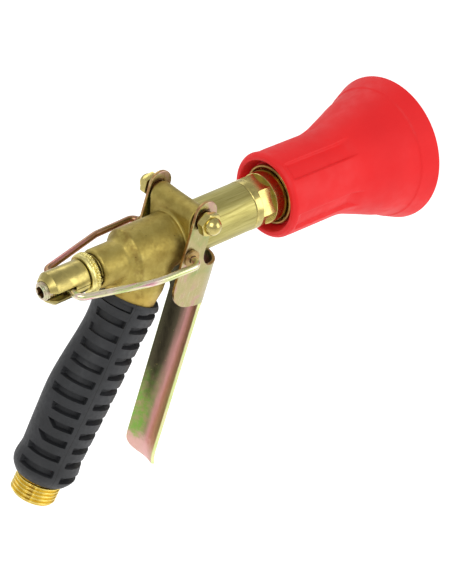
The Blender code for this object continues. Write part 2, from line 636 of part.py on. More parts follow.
def main():
    for old in list(bpy.data.objects):
        bpy.data.objects.remove(old, do_unlink=True)
    mats = make_materials()
    handle = empty("handle_axis", (0.0, 0.0, 0.0), turn_y=HANDLE_LEAN)
    barrel = empty("barrel_axis", (PIVOT_X, 0.0, BARREL_Z))
    pivot = empty("pivot_axis", (0.0, 0.0, PIVOT_UP), barrel)
    pivot_lever = empty("lever_axis", (0.0, 0.0, PIVOT_UP), barrel, turn_y=LEVER_LEAN)
    hook = empty("hook_axis", (HOOK_X, 0.0, HOOK_Z), barrel)
    stem = empty("stem_axis", (0.0, 0.0, 0.0), barrel)
    guard = empty("guard_axis", (GUARD_PLAY_X, 0.0, 0.0), barrel, turn_y=GUARD_DROOP)

    make_body(mats, barrel, handle, pivot)
    make_grip(mats, handle)
    make_gland(mats, barrel)
    make_spring(mats, barrel)
    make_outlet(mats, barrel)
    make_spiral_ring(mats, barrel)
    make_guard(mats, guard)
    for side, label in ((-1.0, "right"), (1.0, "left")):
        make_pivot_bolt(mats, pivot, side, label)
    make_lever(mats, pivot_lever)
    make_yoke(mats, hook)
    make_stem_group(mats, stem)


main()
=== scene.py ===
"""Looks for the trigger spray gun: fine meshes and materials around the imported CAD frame. Lengths in mm."""

import json
import math

import bmesh
import bpy
import numpy as np
from mathutils import Matrix, Vector
from mathutils.geometry import delaunay_2d_cdt


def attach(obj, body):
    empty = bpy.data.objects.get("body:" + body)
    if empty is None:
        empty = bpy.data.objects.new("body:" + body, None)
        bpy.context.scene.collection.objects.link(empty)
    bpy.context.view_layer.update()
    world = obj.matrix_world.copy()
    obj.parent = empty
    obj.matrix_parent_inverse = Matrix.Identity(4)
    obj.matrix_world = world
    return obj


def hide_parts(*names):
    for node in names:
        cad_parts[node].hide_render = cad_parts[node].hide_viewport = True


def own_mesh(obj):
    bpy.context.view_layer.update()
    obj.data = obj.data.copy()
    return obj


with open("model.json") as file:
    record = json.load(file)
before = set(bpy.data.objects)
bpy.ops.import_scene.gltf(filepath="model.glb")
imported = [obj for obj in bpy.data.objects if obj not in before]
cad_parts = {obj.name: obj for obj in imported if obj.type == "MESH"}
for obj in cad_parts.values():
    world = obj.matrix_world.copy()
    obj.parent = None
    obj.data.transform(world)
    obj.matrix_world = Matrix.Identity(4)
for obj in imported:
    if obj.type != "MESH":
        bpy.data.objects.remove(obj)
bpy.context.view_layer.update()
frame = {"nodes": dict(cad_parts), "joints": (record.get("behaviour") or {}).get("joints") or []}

MM = 0.001
AXIS_GAP = 0.01       # turned outlines stay this far off the axis
JOINTS = {joint["name"]: joint for joint in frame["joints"]}


# -------------------- places, taken from the joints

def turned(degrees, axis):
    """A rotation about one of the axes."""
    return Matrix.Rotation(math.radians(degrees), 4, axis)


def place(at, tilt=0.0):
    """A frame at a point in metres, turned about Y by tilt degrees."""
    return Matrix.Translation(at) @ turned(tilt, "Y")


PIVOT_AT = Vector(JOINTS["lever_pivot"]["pos_m"])
GUARD_AT = Vector(JOINTS["guard_turn"]["pos_m"])
GUARD_AXIS = Vector(JOINTS["guard_turn"]["axis"])
DROOP = math.degrees(math.atan2(-GUARD_AXIS.z, GUARD_AXIS.x))
HANDLE_LEAN = 30.0
LEVER_LEAN = 16.5
SEAM_TURN = 23.0      # how far the grip's mould is turned from the finger side

BARREL = place(Vector((PIVOT_AT.x, 0.0, GUARD_AT.z)))     # x runs forward along the barrel
HANDLE = place(Vector((0.0, 0.0, 0.0)), HANDLE_LEAN)      # z runs up from the thread end, x to the fingers
LEVER = place(PIVOT_AT, LEVER_LEAN)                       # z runs up the lever, x to the front of its web
RING_AHEAD = GUARD_AT.x - PIVOT_AT.x
GUARD = (BARREL @ Matrix.Translation((RING_AHEAD, 0, 0)) @ turned(DROOP, "Y")
         @ Matrix.Translation((-RING_AHEAD, 0, 0)))               # like BARREL, drooped about the ring


# -------------------- mesh tools

def linked(name, data):
    """A new object in the scene."""
    obj = bpy.data.objects.new(name, data)
    bpy.context.scene.collection.objects.link(obj)
    return obj


def new_object(name, mesh, sharp=32.0):
    """An object of a finished mesh, smooth but for edges sharper than so many degrees."""
    mesh.shade_smooth()
    mesh.set_sharp_from_angle(angle=math.radians(sharp))
    return linked(name, mesh)


def mesh_of(points, faces, at):
    """A mesh of points in mm in the frame 'at', with its normals turned outwards."""
    mesh = bpy.data.meshes.new("mesh")
    placed = np.asarray(points, float) * MM @ np.array(at.to_3x3()).T + np.array(at.translation)
    mesh.from_pydata(placed.tolist(), [], [list(map(int, f)) for f in faces])
    work = bmesh.new()
    work.from_mesh(mesh)
    bmesh.ops.remove_doubles(work, verts=work.verts, dist=1e-7)
    bmesh.ops.recalc_face_normals(work, faces=work.faces)
    work.to_mesh(mesh)
    work.free()
    return mesh


def pairs(loop):
    """Each point of a closed loop with the next."""
    return zip(loop, loop[1:] + loop[:1])


def circle(count):
    """Angles evenly round a turn."""
    return np.linspace(0, 2 * math.pi, count, endpoint=False)


def arc(before, here, after, radius, steps):
    """Points of the arc that rounds off the corner 'here', within half of each side."""
    back, ahead = before - here, after - here
    half = back.angle(ahead) / 2
    run = min(radius / math.tan(half), 0.49 * back.length, 0.49 * ahead.length)
    bulge = (back.normalized() + ahead.normalized()).normalized()
    centre = here + bulge * (run / math.cos(half))
    arm = here + back.normalized() * run - centre
    goal = here + ahead.normalized() * run - centre
    turn = arm.angle(goal)
    angles = [turn * k / steps for k in range(steps + 1)]
    return [centre + (arm * math.sin(turn - a) + goal * math.sin(a)) / math.sin(turn) for a in angles]


def corners(outline, steps=5):
    """A closed outline of (a, b) or (a, b, radius) points as plain points, each radius drawn as an arc."""
    made = []
    places = [Vector(point[:2]) for point in outline]
    for i, (here, point) in enumerate(zip(places, outline)):
        if len(point) > 2 and point[2] > 0:
            after = places[(i + 1) % len(outline)]
            made += [tuple(p) for p in arc(places[i - 1], here, after, point[2], steps)]
        else:
            made.append(tuple(here))
    return made


def spread(curve, most, until=1e9):
    """The closed outline with stretches longer than 'most' divided, where they start before 'until'."""
    made = []
    for here, ahead in pairs(curve):
        parts = max(1, math.ceil(math.dist(here, ahead) / most)) if here[0] < until else 1
        made += [(here[0] + (ahead[0] - here[0]) * k / parts, here[1] + (ahead[1] - here[1]) * k / parts)
                 for k in range(parts)]
    return made


def grid_faces(rows, columns, closed_rows):
    """Quads of a rows x columns grid whose columns close round; rows close too if asked."""
    i, j = np.meshgrid(np.arange(rows if closed_rows else rows - 1), np.arange(columns), indexing="ij")
    a = i * columns + j
    b = i * columns + (j + 1) % columns
    c = ((i + 1) % rows) * columns + (j + 1) % columns
    d = ((i + 1) % rows) * columns + j
    return np.stack([a, b, c, d], axis=-1).reshape(-1, 4)


def lathe(outline, at, segments=160, relief=None, most=None, until=1e9):
    """Mesh of a closed (x, radius[, corner radius]) outline turned about local X.

    Stretches longer than 'most' are divided, and relief(x, angle, radius) gives new radii.
    """
    curve = corners(outline)
    if most:
        curve = spread(curve, most, until)
    along, radii = np.array(curve).T
    x, angle = np.meshgrid(along, circle(segments), indexing="ij")
    r = np.repeat(np.maximum(radii, AXIS_GAP)[:, None], segments, axis=1)
    if relief:
        r = relief(x, angle, r)
    points = np.stack([x, r * np.cos(angle), r * np.sin(angle)], axis=-1).reshape(-1, 3)
    return mesh_of(points, grid_faces(len(curve), segments, True), at)


def prism(outline, low, high, at):
    """Mesh of an (x, z) outline pushed along local Y."""
    count = len(outline)
    points = [(x, y, z) for y in (low, high) for x, z in outline]
    sides = [(k, (k + 1) % count, count + (k + 1) % count, count + k) for k in range(count)]
    return mesh_of(points, [tuple(range(count)), tuple(range(count, 2 * count))] + sides, at)


def hexagon(across, start, end, turn, at):
    """Mesh of a hexagonal prism, so wide across its flats, along local X."""
    reach = across / math.sqrt(3)
    angles = [math.radians(turn + 60 * k) for k in range(6)]
    outline = [(-reach * math.cos(a), reach * math.sin(a)) for a in angles]
    return prism(outline, start, end, at @ turned(-90, "Z"))


def block(low, high, at):
    """Mesh of a box between two corners, used only as a cutter."""
    outline = [(low[0], low[2]), (high[0], low[2]), (high[0], high[2]), (low[0], high[2])]
    return prism(outline, low[1], high[1], at)


def modified(mesh, kind, **settings):
    """The mesh with a modifier applied."""
    obj = new_object("modified", mesh)
    modifier = obj.modifiers.new("change", kind)
    for key, value in settings.items():
        setattr(modifier, key, value)
    bpy.context.view_layer.update()
    made = bpy.data.meshes.new_from_object(obj.evaluated_get(bpy.context.evaluated_depsgraph_get()))
    bpy.data.objects.remove(obj)
    return made


def carve(mesh, *others, operation="DIFFERENCE"):
    """The mesh after a Boolean with each of the others."""
    for other in others:
        tool = new_object("tool", other)
        mesh = modified(mesh, "BOOLEAN", operation=operation, solver="EXACT", object=tool)
        bpy.data.objects.remove(tool)
    return mesh


def softened(mesh, width, angle):
    """The mesh with its edges sharper than so many degrees rounded."""
    return modified(mesh, "BEVEL", width=width * MM, segments=2, limit_method="ANGLE",
                    angle_limit=math.radians(angle))


def swept(path, radius, at, sides=28, ends=0.35):
    """Mesh of a round rod along a list of 3-D points, its ends rounded off."""
    path = [Vector(p) for p in path]
    last = len(path) - 1
    side = (path[1] - path[0]).orthogonal().normalized()
    end_lifts = [math.radians(22.5 * k) for k in range(5)]
    rows = []
    for i, centre in enumerate(path):
        tangent = (path[min(i + 1, last)] - path[max(i - 1, 0)]).normalized()
        side = (side - tangent * side.dot(tangent)).normalized()
        up = tangent.cross(side)
        lifts = [-lift for lift in reversed(end_lifts)] if i == 0 else end_lifts if i == last else [0.0]
        for lift in lifts:
            middle = centre + tangent * ends * math.sin(lift)
            r = radius - ends * (1 - math.cos(lift))
            rows.append([middle + (side * math.cos(a) + up * math.sin(a)) * r for a in circle(sides)])
    points = [p for row in rows for p in row]
    faces = [tuple(f) for f in grid_faces(len(rows), sides, False)]
    faces += [tuple(range(sides)), tuple(range(len(points) - sides, len(points)))]
    return mesh_of(points, faces, at)


def bent(path, radii, steps):
    """A 3-D polyline with each inner corner drawn as an arc of its own radius."""
    path = [Vector(p) for p in path]
    made = [path[0]]
    for before, here, after, radius in zip(path, path[1:], path[2:], radii):
        made += arc(before, here, after, radius, steps)
    return made + [path[-1]]


def repaint(mesh, at, chosen):
    """Gives the second material to the faces whose middle, in the frame 'at', passes the test."""
    inverse = at.inverted()
    for polygon in mesh.polygons:
        if chosen(*(inverse @ polygon.center / MM)):
            polygon.material_index = 1
    return mesh


def step(low, high, x):
    """0 below low, 1 above high and smooth between."""
    t = np.clip((x - low) / (high - low), 0, 1)
    return t * t * (3 - 2 * t)


def eased(stations, values, x):
    """A smooth curve through (station, value) points."""
    stations, values = np.asarray(stations, float), np.asarray(values, float)
    slope = np.gradient(values, stations)
    i = np.clip(np.searchsorted(stations, x) - 1, 0, len(stations) - 2)
    h = stations[i + 1] - stations[i]
    t = np.clip((x - stations[i]) / h, 0, 1)
    return ((1 + 2 * t) * (1 - t) ** 2 * values[i] + t * (1 - t) ** 2 * h * slope[i]
            + t * t * (3 - 2 * t) * values[i + 1] + t * t * (t - 1) * h * slope[i + 1])


# -------------------- material tools

def shade(value):
    """A display colour of three values up to 255 as the shader wants it; any other value as it is."""
    if not isinstance(value, tuple) or len(value) != 3:
        return value
    return tuple(c / 12.92 if c <= 0.04045 else ((c + 0.055) / 1.055) ** 2.4
                 for c in (part / 255 for part in value)) + (1.0,)


class Shader:
    """A Principled material, placed in the frame 'at', with short calls for the nodes that feed it."""

    def __init__(self, name, at, metal=1.0, **sockets):
        self.material = bpy.data.materials.new(name)
        self.material.use_nodes = True
        self.nodes = self.material.node_tree.nodes
        self.links = self.material.node_tree.links
        self.bsdf = self.nodes["Principled BSDF"]
        self.bsdf.inputs["Metallic"].default_value = metal
        for socket, value in sockets.items():
            self.bsdf.inputs[socket.replace("_", " ")].default_value = value
        self.object = self.node("ShaderNodeTexCoord").outputs["Object"]
        self.at = at
        self.where = self.local(at)

    def node(self, kind, **settings):
        """A new node with its settings."""
        made = self.nodes.new(kind)
        for key, value in settings.items():
            setattr(made, key, value)
        return made

    def feed(self, socket, value):
        """Links a node's output to a socket, or sets the socket to a number or colour."""
        if isinstance(value, bpy.types.NodeSocket):
            self.links.new(value, socket)
        else:
            socket.default_value = shade(value)

    def local(self, at, stretch=(1.0, 1.0, 1.0)):
        """Coordinates in mm in the frame 'at', each scaled by stretch."""
        mapping = self.node("ShaderNodeMapping", vector_type="TEXTURE")
        mapping.inputs["Location"].default_value = at.translation
        mapping.inputs["Rotation"].default_value = at.to_euler()
        self.feed(mapping.inputs["Vector"], self.object)
        scaled = self.node("ShaderNodeVectorMath", operation="MULTIPLY")
        self.feed(scaled.inputs[0], mapping.outputs[0])
        scaled.inputs[1].default_value = tuple(s / MM for s in stretch)
        return scaled.outputs[0]

    def axis(self, name, at=None):
        """One coordinate in mm, in the material's own frame or another."""
        split = self.node("ShaderNodeSeparateXYZ")
        self.feed(split.inputs[0], self.where if at is None else self.local(at))
        return split.outputs[name]

    def noise(self, scale, detail=4.0, rough=0.55, warp=0.0, stretch=None):
        """Fractal noise from 0 to 1, mostly near the middle."""
        made = self.node("ShaderNodeTexNoise")
        self.feed(made.inputs["Vector"], self.local(self.at, stretch) if stretch else self.where)
        values = {"Scale": scale, "Detail": detail, "Roughness": rough, "Distortion": warp}
        for socket, value in values.items():
            made.inputs[socket].default_value = value
        return made.outputs["Fac"]

    def patchy(self, scale, low, high, detail=4.0):
        """Noise stretched to run from low to high."""
        return self.span(self.noise(scale, detail), 0.3, 0.7, low, high)

    def cells(self, scale):
        """Distance from the nearest of scattered points."""
        made = self.node("ShaderNodeTexVoronoi")
        self.feed(made.inputs["Vector"], self.where)
        made.inputs["Scale"].default_value = scale
        return made.outputs["Distance"]

    def math(self, operation, a, b=0.0, c=0.0):
        """One step of arithmetic."""
        made = self.node("ShaderNodeMath", operation=operation)
        for socket, value in zip(made.inputs, (a, b, c)):
            self.feed(socket, value)
        return made.outputs[0]

    def times(self, a, b):
        """The product of two values."""
        return self.math("MULTIPLY", a, b)

    def span(self, value, low, high, bottom=0.0, top=1.0, smooth=True):
        """The value's place between low and high, as bottom to top."""
        made = self.node("ShaderNodeMapRange")
        if smooth:
            made.interpolation_type = "SMOOTHSTEP"
        for socket, number in zip(("Value", "From Min", "From Max", "To Min", "To Max"),
                                  (value, low, high, bottom, top)):
            self.feed(made.inputs[socket], number)
        return made.outputs[0]

    def mix(self, share, a, b):
        """Colour a turning into colour b as share goes from 0 to 1."""
        made = self.node("ShaderNodeMix", data_type="RGBA")
        self.feed(made.inputs[0], share)
        self.feed(made.inputs[6], a)
        self.feed(made.inputs[7], b)
        return made.outputs[2]

    def tint(self, tone, share, strength, colour):
        """The tone with some of another colour where share is high."""
        return self.mix(self.times(share, strength), tone, colour)

    def ramp(self, value, stops):
        """Colours at places from 0 to 1."""
        made = self.node("ShaderNodeValToRGB")
        bar = made.color_ramp.elements
        while len(bar) < len(stops):
            bar.new(0.5)
        for element, (position, colour) in zip(bar, stops):
            element.position = position
            element.color = shade(colour)
        self.feed(made.inputs[0], value)
        return made.outputs[0]

    def bump(self, height, depth, below=None):
        """Relief of so many mm, on top of another bump."""
        made = self.node("ShaderNodeBump")
        made.inputs["Strength"].default_value = 1.0
        made.inputs["Distance"].default_value = depth * MM
        self.feed(made.inputs["Height"], height)
        if below is not None:
            self.feed(made.inputs["Normal"], below)
        return made.outputs[0]

    def made_of(self, tone, rough, normal=None):
        """The finished material."""
        self.feed(self.bsdf.inputs["Base Color"], tone)
        self.feed(self.bsdf.inputs["Roughness"], rough)
        if normal is not None:
            self.feed(self.bsdf.inputs["Normal"], normal)
        return self.material


def show(name, mesh, body, materials, replaced=(), sharp=32.0):
    """A finished piece: on its body, standing for its CAD nodes, with its materials."""
    obj = new_object(name, mesh, sharp)
    kept = [polygon.material_index for polygon in mesh.polygons]
    mesh.materials.clear()
    for item in (materials if isinstance(materials, (list, tuple)) else [materials]):
        mesh.materials.append(item)
    mesh.polygons.foreach_set("material_index", kept)
    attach(obj, body)
    if replaced:
        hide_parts(*replaced)
    return obj


# -------------------- materials

def cast_brass():
    """Forged body: olive brass, matte from tumbling, with dark pits, a brown stain near the grip, a brown
    band at the neck's step that is partly stain and partly painted shade, and a lighter golden tone down the
    handle stub.
    """
    s = Shader("cast_brass", BARREL)
    tone = s.ramp(s.noise(0.16, 6), [(0.3, (148, 129, 65)), (0.5, (168, 150, 80)), (0.7, (184, 167, 95))])
    low = s.axis("Z", HANDLE)
    # Lighter and more golden down the handle stub.
    tone = s.tint(tone, s.span(low, 113.0, 102.0), 0.7, (206, 176, 92))
    stain = s.times(s.span(low, 107.0, 102.5), s.span(s.noise(0.16, 5, 0.7), 0.46, 0.66))
    tone = s.tint(tone, stain, 0.7, (128, 84, 34))
    # Brown band round the neck's step: partly stain, partly painted shade on the step's shadowed side.
    shoulder = s.span(s.math("ABSOLUTE", s.math("ADD", s.axis("X"), 29.8)), 2.6, 0.6)
    shoulder = s.times(shoulder, s.span(s.noise(0.3), 0.4, 0.62))
    tone = s.tint(tone, shoulder, 0.45, (116, 90, 42))
    pits = s.times(s.span(s.cells(0.42), 0.16, 0.07), s.span(s.noise(0.21, 2), 0.52, 0.6))
    tone = s.tint(tone, pits, 0.7, (84, 66, 30))
    hammered = s.math("SUBTRACT", s.noise(0.7), s.times(pits, 0.6))
    relief = s.bump(hammered, 0.12, s.bump(s.noise(2.4), 0.075))
    return s.made_of(tone, s.patchy(0.6, 0.42, 0.56, 5), relief)


def drawn_brass():
    """Front tube: the same brass brushed lengthwise."""
    s = Shader("drawn_brass", BARREL)
    lines = (0.05, 1.0, 1.0)
    streak = s.noise(1.1, 5, 0.65, stretch=lines)
    tone = s.ramp(streak, [(0.32, (150, 140, 82)), (0.5, (172, 163, 98)), (0.7, (186, 177, 114))])
    relief = s.bump(s.noise(5.0, 3, stretch=lines), 0.02, s.bump(streak, 0.03))
    return s.made_of(tone, s.span(streak, 0.3, 0.7, 0.48, 0.4), relief)


def turned_brass(name, tone, rough, mark=0.012):
    """Machined brass with tool rings round the barrel's axis."""
    s = Shader(name, BARREL)
    rings = s.noise(5.0, 3, 0.6, stretch=(1.0, 0.01, 0.01))
    haze = s.noise(0.25)
    colour = s.mix(s.span(haze, 0.35, 0.7), tone, tuple(c * 0.84 for c in tone))
    colour = s.tint(colour, s.span(s.noise(1.6), 0.62, 0.74), 0.45, (128, 96, 36))
    return s.made_of(colour, s.span(haze, 0.3, 0.7, rough, rough + 0.12), s.bump(rings, mark))


def thread_brass():
    """Inlet thread: bright yellow brass with a painted highlight along a flash line, and a darker brown band
    beside it.
    """
    s = Shader("thread_brass", HANDLE)
    side = s.math("ARCTAN2", s.times(s.axis("Y"), -1.0), s.axis("X"))
    # A bright line down one side of the thread: a painted highlight along the flash line.
    line = s.span(s.math("ABSOLUTE", s.math("SUBTRACT", side, math.radians(134.5))), 0.05, 0.02)
    # A darker brown band in patches beside the highlight line.
    dark_band = s.times(s.span(side, math.radians(136), math.radians(141)),
                  s.span(side, math.radians(158), math.radians(148)))
    tone = s.ramp(s.noise(0.5), [(0.3, (226, 194, 92)), (0.7, (240, 218, 122))])
    tone = s.mix(s.times(dark_band, s.span(s.noise(0.8, 3), 0.3, 0.6, 0.15, 0.5)), tone, (124, 92, 28))
    # Paints the highlight along the flash line.
    tone = s.tint(tone, line, 0.6, (255, 232, 132))
    rings = s.noise(4.0, 2, stretch=(0.05, 0.05, 1.0))
    return s.made_of(tone, s.patchy(1.2, 0.26, 0.36, 3), s.bump(rings, 0.006))


def zinc_yellow(name="zinc_yellow", at=LEVER, scale=0.07, pale=0.0):
    """Zinc-plated steel: passivation that drifts from pale gold to cream, pink and green."""
    s = Shader(name, at)
    tone = s.ramp(s.noise(scale, 3, 0.5, 0.6),
                  [(0.3, (134, 154, 96)), (0.42, (162, 156, 106)), (0.52, (174, 160, 118)),
                   (0.6, (180, 146, 132)), (0.7, (158, 150, 104))])
    scratch = s.span(s.noise(2.2, 3, stretch=(1.0, 1.0, 0.06)), 0.6, 0.72)
    tone = s.mix(s.math("MULTIPLY_ADD", scratch, 0.25, pale), tone, (240, 236, 214))
    return s.made_of(tone, s.patchy(0.5, 0.26, 0.38), s.bump(s.noise(1.4), 0.03))


def zinc_hollow():
    """Inside of the lever: passivation colours in bands of bronze, rose and dark green across the hollow,
    darker towards +Y, with a pink band that is partly a painted highlight, and pink at the tip.
    """
    s = Shader("zinc_hollow", LEVER)
    down = s.axis("Z")
    wander = s.times(s.math("SUBTRACT", s.noise(0.25, 3, stretch=(1, 1, 0.12)), 0.5), 5.0)
    shifted = s.math("ADD", s.axis("Y"), s.span(down, -60.0, -105.0, 0.0, -1.8))
    across = s.math("ADD", shifted, wander)
    # Across the hollow from light on the -Y side to dark on the +Y side; the pink stops at 0.35 and 0.42 are
    # partly a painted highlight line.
    tone = s.ramp(s.span(across, -12.0, 12.0, smooth=False),
                  [(0.0, (206, 196, 120)), (0.12, (176, 136, 92)), (0.28, (178, 120, 94)),
                   (0.35, (196, 138, 130)), (0.42, (194, 140, 134)), (0.5, (146, 116, 102)),
                   (0.6, (92, 84, 66)), (1.0, (84, 82, 62))])
    patch = s.math("ADD", down, s.times(s.noise(0.1), 26.0))
    green = s.times(s.span(across, -3.0, 3.0), s.span(patch, -72.0, -94.0))
    moss = s.mix(s.span(s.noise(0.35), 0.35, 0.65), (132, 172, 82), (164, 160, 108))
    tone = s.mix(green, tone, moss)
    rose = s.times(green, s.span(s.noise(0.4, stretch=(1, 1, 0.4)), 0.6, 0.68))
    tone = s.tint(tone, rose, 0.7, (204, 158, 144))
    tip = s.span(s.math("ADD", down, s.times(s.noise(0.22), 18.0)), -113.0, -121.0)
    tone = s.mix(s.times(tip, s.span(across, -9.0, -2.0, 0.2, 0.9)), tone, (214, 166, 160))
    tone = s.tint(tone, s.span(s.noise(1.1), 0.66, 0.72), 0.4, (206, 190, 120))
    return s.made_of(tone, s.patchy(0.5, 0.3, 0.44), s.bump(s.noise(2.2), 0.05))


def zinc_edge():
    """Sheared edge of the sheet: brown above, and a yellow-green rim along the blade."""
    s = Shader("zinc_edge", LEVER)
    tone = s.ramp(s.noise(0.35), [(0.3, (150, 104, 74)), (0.55, (186, 150, 96)), (0.75, (222, 208, 150))])
    rim = s.ramp(s.noise(0.5, stretch=(1, 1, 0.2)),
                 [(0.3, (196, 214, 132)), (0.5, (222, 230, 164)), (0.7, (236, 216, 176))])
    tone = s.mix(s.span(s.axis("Z"), -42.0, -47.0), tone, rim)
    return s.made_of(tone, s.patchy(2.0, 0.3, 0.45, 3), s.bump(s.noise(3.0, 3), 0.05))


def zinc_wire():
    """The bent wire: pale on the near arm with pink and green streaks, copper brown on the far arm."""
    s = Shader("zinc_wire", BARREL)
    streak = s.noise(0.8, 3, 0.5, stretch=(0.04, 0.5, 1.6))
    near = s.ramp(streak, [(0.32, (172, 194, 116)), (0.45, (218, 212, 168)), (0.56, (228, 214, 196)),
                           (0.66, (216, 156, 166))])
    far = s.ramp(streak, [(0.3, (120, 104, 56)), (0.5, (172, 128, 104)), (0.7, (190, 126, 124))])
    tone = s.mix(s.span(s.axis("Y"), -4.0, 9.0), near, far)
    return s.made_of(tone, s.patchy(0.7, 0.26, 0.36), s.bump(s.noise(0.8, 2), 0.012))


def red_plastic():
    """Injection-moulded red polymer with a faint satin texture, flow haze and rubbed spots."""
    s = Shader("red_plastic", GUARD, 0.0, IOR=1.38)
    tone = s.ramp(s.noise(0.035, 3), [(0.3, (216, 20, 24)), (0.7, (226, 27, 29))])
    scuff = s.span(s.noise(0.8, 5, 0.7, stretch=(0.5, 1, 1)), 0.62, 0.78)
    tone = s.tint(tone, scuff, 0.14, (234, 76, 70))
    relief = s.bump(s.noise(4.5, 3), 0.012, s.bump(s.noise(0.12, 2), 0.15))
    return s.made_of(tone, s.patchy(0.2, 0.5, 0.62, 5), relief)


def grip_rubber():
    """Charcoal moulded rubber: fine matt grain, dusty bloom, and a parting line down each side rib."""
    s = Shader("grip_rubber", HANDLE @ turned(-SEAM_TURN, "Z"), 0.0)
    line = s.span(s.math("ABSOLUTE", s.axis("X")), 0.3, 0.12)
    tone = s.ramp(s.noise(0.12), [(0.3, (22, 23, 25)), (0.7, (33, 34, 37))])
    tone = s.tint(tone, s.span(s.noise(1.3, 5, 0.7), 0.6, 0.75), 0.14, (76, 76, 76))
    tone = s.tint(tone, line, 0.9, (8, 8, 9))
    relief = s.math("SUBTRACT", s.noise(5.0, 3), s.times(line, 1.5))
    return s.made_of(tone, s.patchy(0.5, 0.5, 0.64), s.bump(relief, 0.03))


def steel_wire():
    """Spring steel, lightly oiled."""
    s = Shader("steel_wire", BARREL)
    tone = s.ramp(s.noise(1.0), [(0.3, (120, 120, 120)), (0.7, (176, 176, 174))])
    return s.made_of(tone, s.patchy(2.0, 0.25, 0.4, 3), s.bump(s.noise(4.0, 2), 0.02))


def seal_rubber():
    """Black nitrile rings."""
    s = Shader("seal_rubber", BARREL, 0.0)
    tone = s.ramp(s.noise(1.0, 3), [(0.3, (24, 24, 25)), (0.7, (40, 40, 42))])
    return s.made_of(tone, s.patchy(1.5, 0.4, 0.6), s.bump(s.noise(6.0, 2), 0.02))


def floor_paint():
    """The plain pale floor, which glows a little so that shadows stay faint."""
    s = Shader("floor_paint", place(Vector()), 0.0, Emission_Color=(1, 1, 1, 1), Emission_Strength=0.45)
    tone = s.ramp(s.noise(0.003, 2), [(0.3, (0.9, 0.9, 0.9, 1)), (0.7, (0.92, 0.92, 0.92, 1))])
    return s.made_of(tone, 0.9)


CAST = cast_brass()
DRAWN = drawn_brass()
FITTING = turned_brass("turned_brass", (196, 180, 108), 0.27)
POLISHED = turned_brass("polished_brass", (204, 188, 116), 0.17, 0.003)
KNURLED = turned_brass("knurled_brass", (240, 226, 146), 0.3)
COIL = turned_brass("coil_brass", (172, 136, 80), 0.3)
COLLAR = turned_brass("collar_bronze", (168, 140, 92), 0.25)
# Dark bronze for the pivot spacers, and painted shade inside the set screw's socket.
DARK_BRONZE_AND_SHADE = turned_brass("dark_bronze_and_painted_shade", (96, 66, 34), 0.4)
THREAD = thread_brass()
SHEET = zinc_yellow()
HOLLOW = zinc_hollow()
EDGE = zinc_edge()
WIRE = zinc_wire()
SCREW_ZINC = zinc_yellow("zinc_screw", BARREL, 0.3, 0.3)
RED = red_plastic()
GRIP = grip_rubber()
STEEL = steel_wire()
SEAL = seal_rubber()


# -------------------- forged body

def outline_distance(x, r, curve):
    """Signed distance of points (x, r) from a closed outline, negative inside."""
    nearest = np.full(len(x), 1e9)
    inside = np.zeros(len(x), bool)
    for (ax, ar), (bx, br) in pairs(curve):
        ex, er = bx - ax, br - ar
        t = np.clip(((x - ax) * ex + (r - ar) * er) / (ex * ex + er * er), 0, 1)
        nearest = np.minimum(nearest, (x - ax - ex * t) ** 2 + (r - ar - er * t) ** 2)
        if er != 0:
            crosses = (ar > r) != (br > r)
            inside ^= crosses & (x < ax + (r - ar) * ex / er)
    return np.where(inside, -1.0, 1.0) * np.sqrt(nearest)


def melt(a, b, width):
    """Union of two distances with a fillet about so wide."""
    h = np.clip(0.5 + 0.5 * (b - a) / width, 0, 1)
    return b + (a - b) * h - width * h * (1 - h)


NECK_RADIUS, BARREL_RADIUS, TUBE_RADIUS, STUB_RADIUS, STUB_FOOT = 8.6, 12.0, 11.3, 13.3, 12.6
TUBE_END = 35.7
ARM_HALF, ARM_REACH, ARM_TOP, ARM_EDGE = 5.65, 13.2, 19.6, 0.9
BEAD_AT, BEAD_RADIUS = -6.9, 0.36      # a raised line round the barrel behind the cross arm
FILLET, ARM_FILLET, BEAD_FILLET = 5.0, 1.7, 0.4
SKIN_VOXEL = 0.42
PIVOT_HEIGHT = (PIVOT_AT.z - BARREL.translation.z) / MM
BARREL_OUTLINE = corners([
    (-45, -1), (-45, NECK_RADIUS, 1.3), (-32.6, NECK_RADIUS, 2.4), (-29, BARREL_RADIUS, 1.4),
    (0, BARREL_RADIUS, 0.8), (1.2, TUBE_RADIUS - 0.15, 0.8), (40, TUBE_RADIUS), (40, -1)])
STUB_OUTLINE = corners([
    (99, -1), (99, STUB_FOOT, 0.6), (103.5, STUB_FOOT, 4), (110, STUB_RADIUS, 8),
    (121.5, BARREL_RADIUS, 4), (121.5, -1)])
HANDLE_FOOT = np.array(BARREL.inverted() @ Vector((0, 0, 0))) / MM
HANDLE_UP = np.array([math.sin(math.radians(HANDLE_LEAN)), 0, math.cos(math.radians(HANDLE_LEAN))])


def forging_distance(p):
    """Signed distance from the forged outside, in barrel coordinates."""
    x, y, z = p.T
    round_barrel = np.hypot(y, z)
    barrel = outline_distance(x, round_barrel, BARREL_OUTLINE)
    rel = p - HANDLE_FOOT
    up = rel @ HANDLE_UP
    stub = outline_distance(up, np.sqrt(np.maximum(0, (rel * rel).sum(1) - up * up)), STUB_OUTLINE)
    half_height = (ARM_TOP - ARM_HALF) / 2
    waist = 0.35 * np.clip(1 - (y / ARM_REACH) ** 2, 0, 1)
    section = np.hypot(x, np.maximum(np.abs(z - half_height) - half_height, 0)) - ARM_HALF + waist + ARM_EDGE
    end = np.abs(y) - ARM_REACH + ARM_EDGE
    arm = np.minimum(np.maximum(section, end), 0) - ARM_EDGE
    arm += np.hypot(np.maximum(section, 0), np.maximum(end, 0))
    bead = np.hypot(x - BEAD_AT, round_barrel - BARREL_RADIUS) - BEAD_RADIUS
    body = melt(melt(barrel, stub, FILLET), bead, BEAD_FILLET)
    return melt(body, arm, ARM_FILLET)


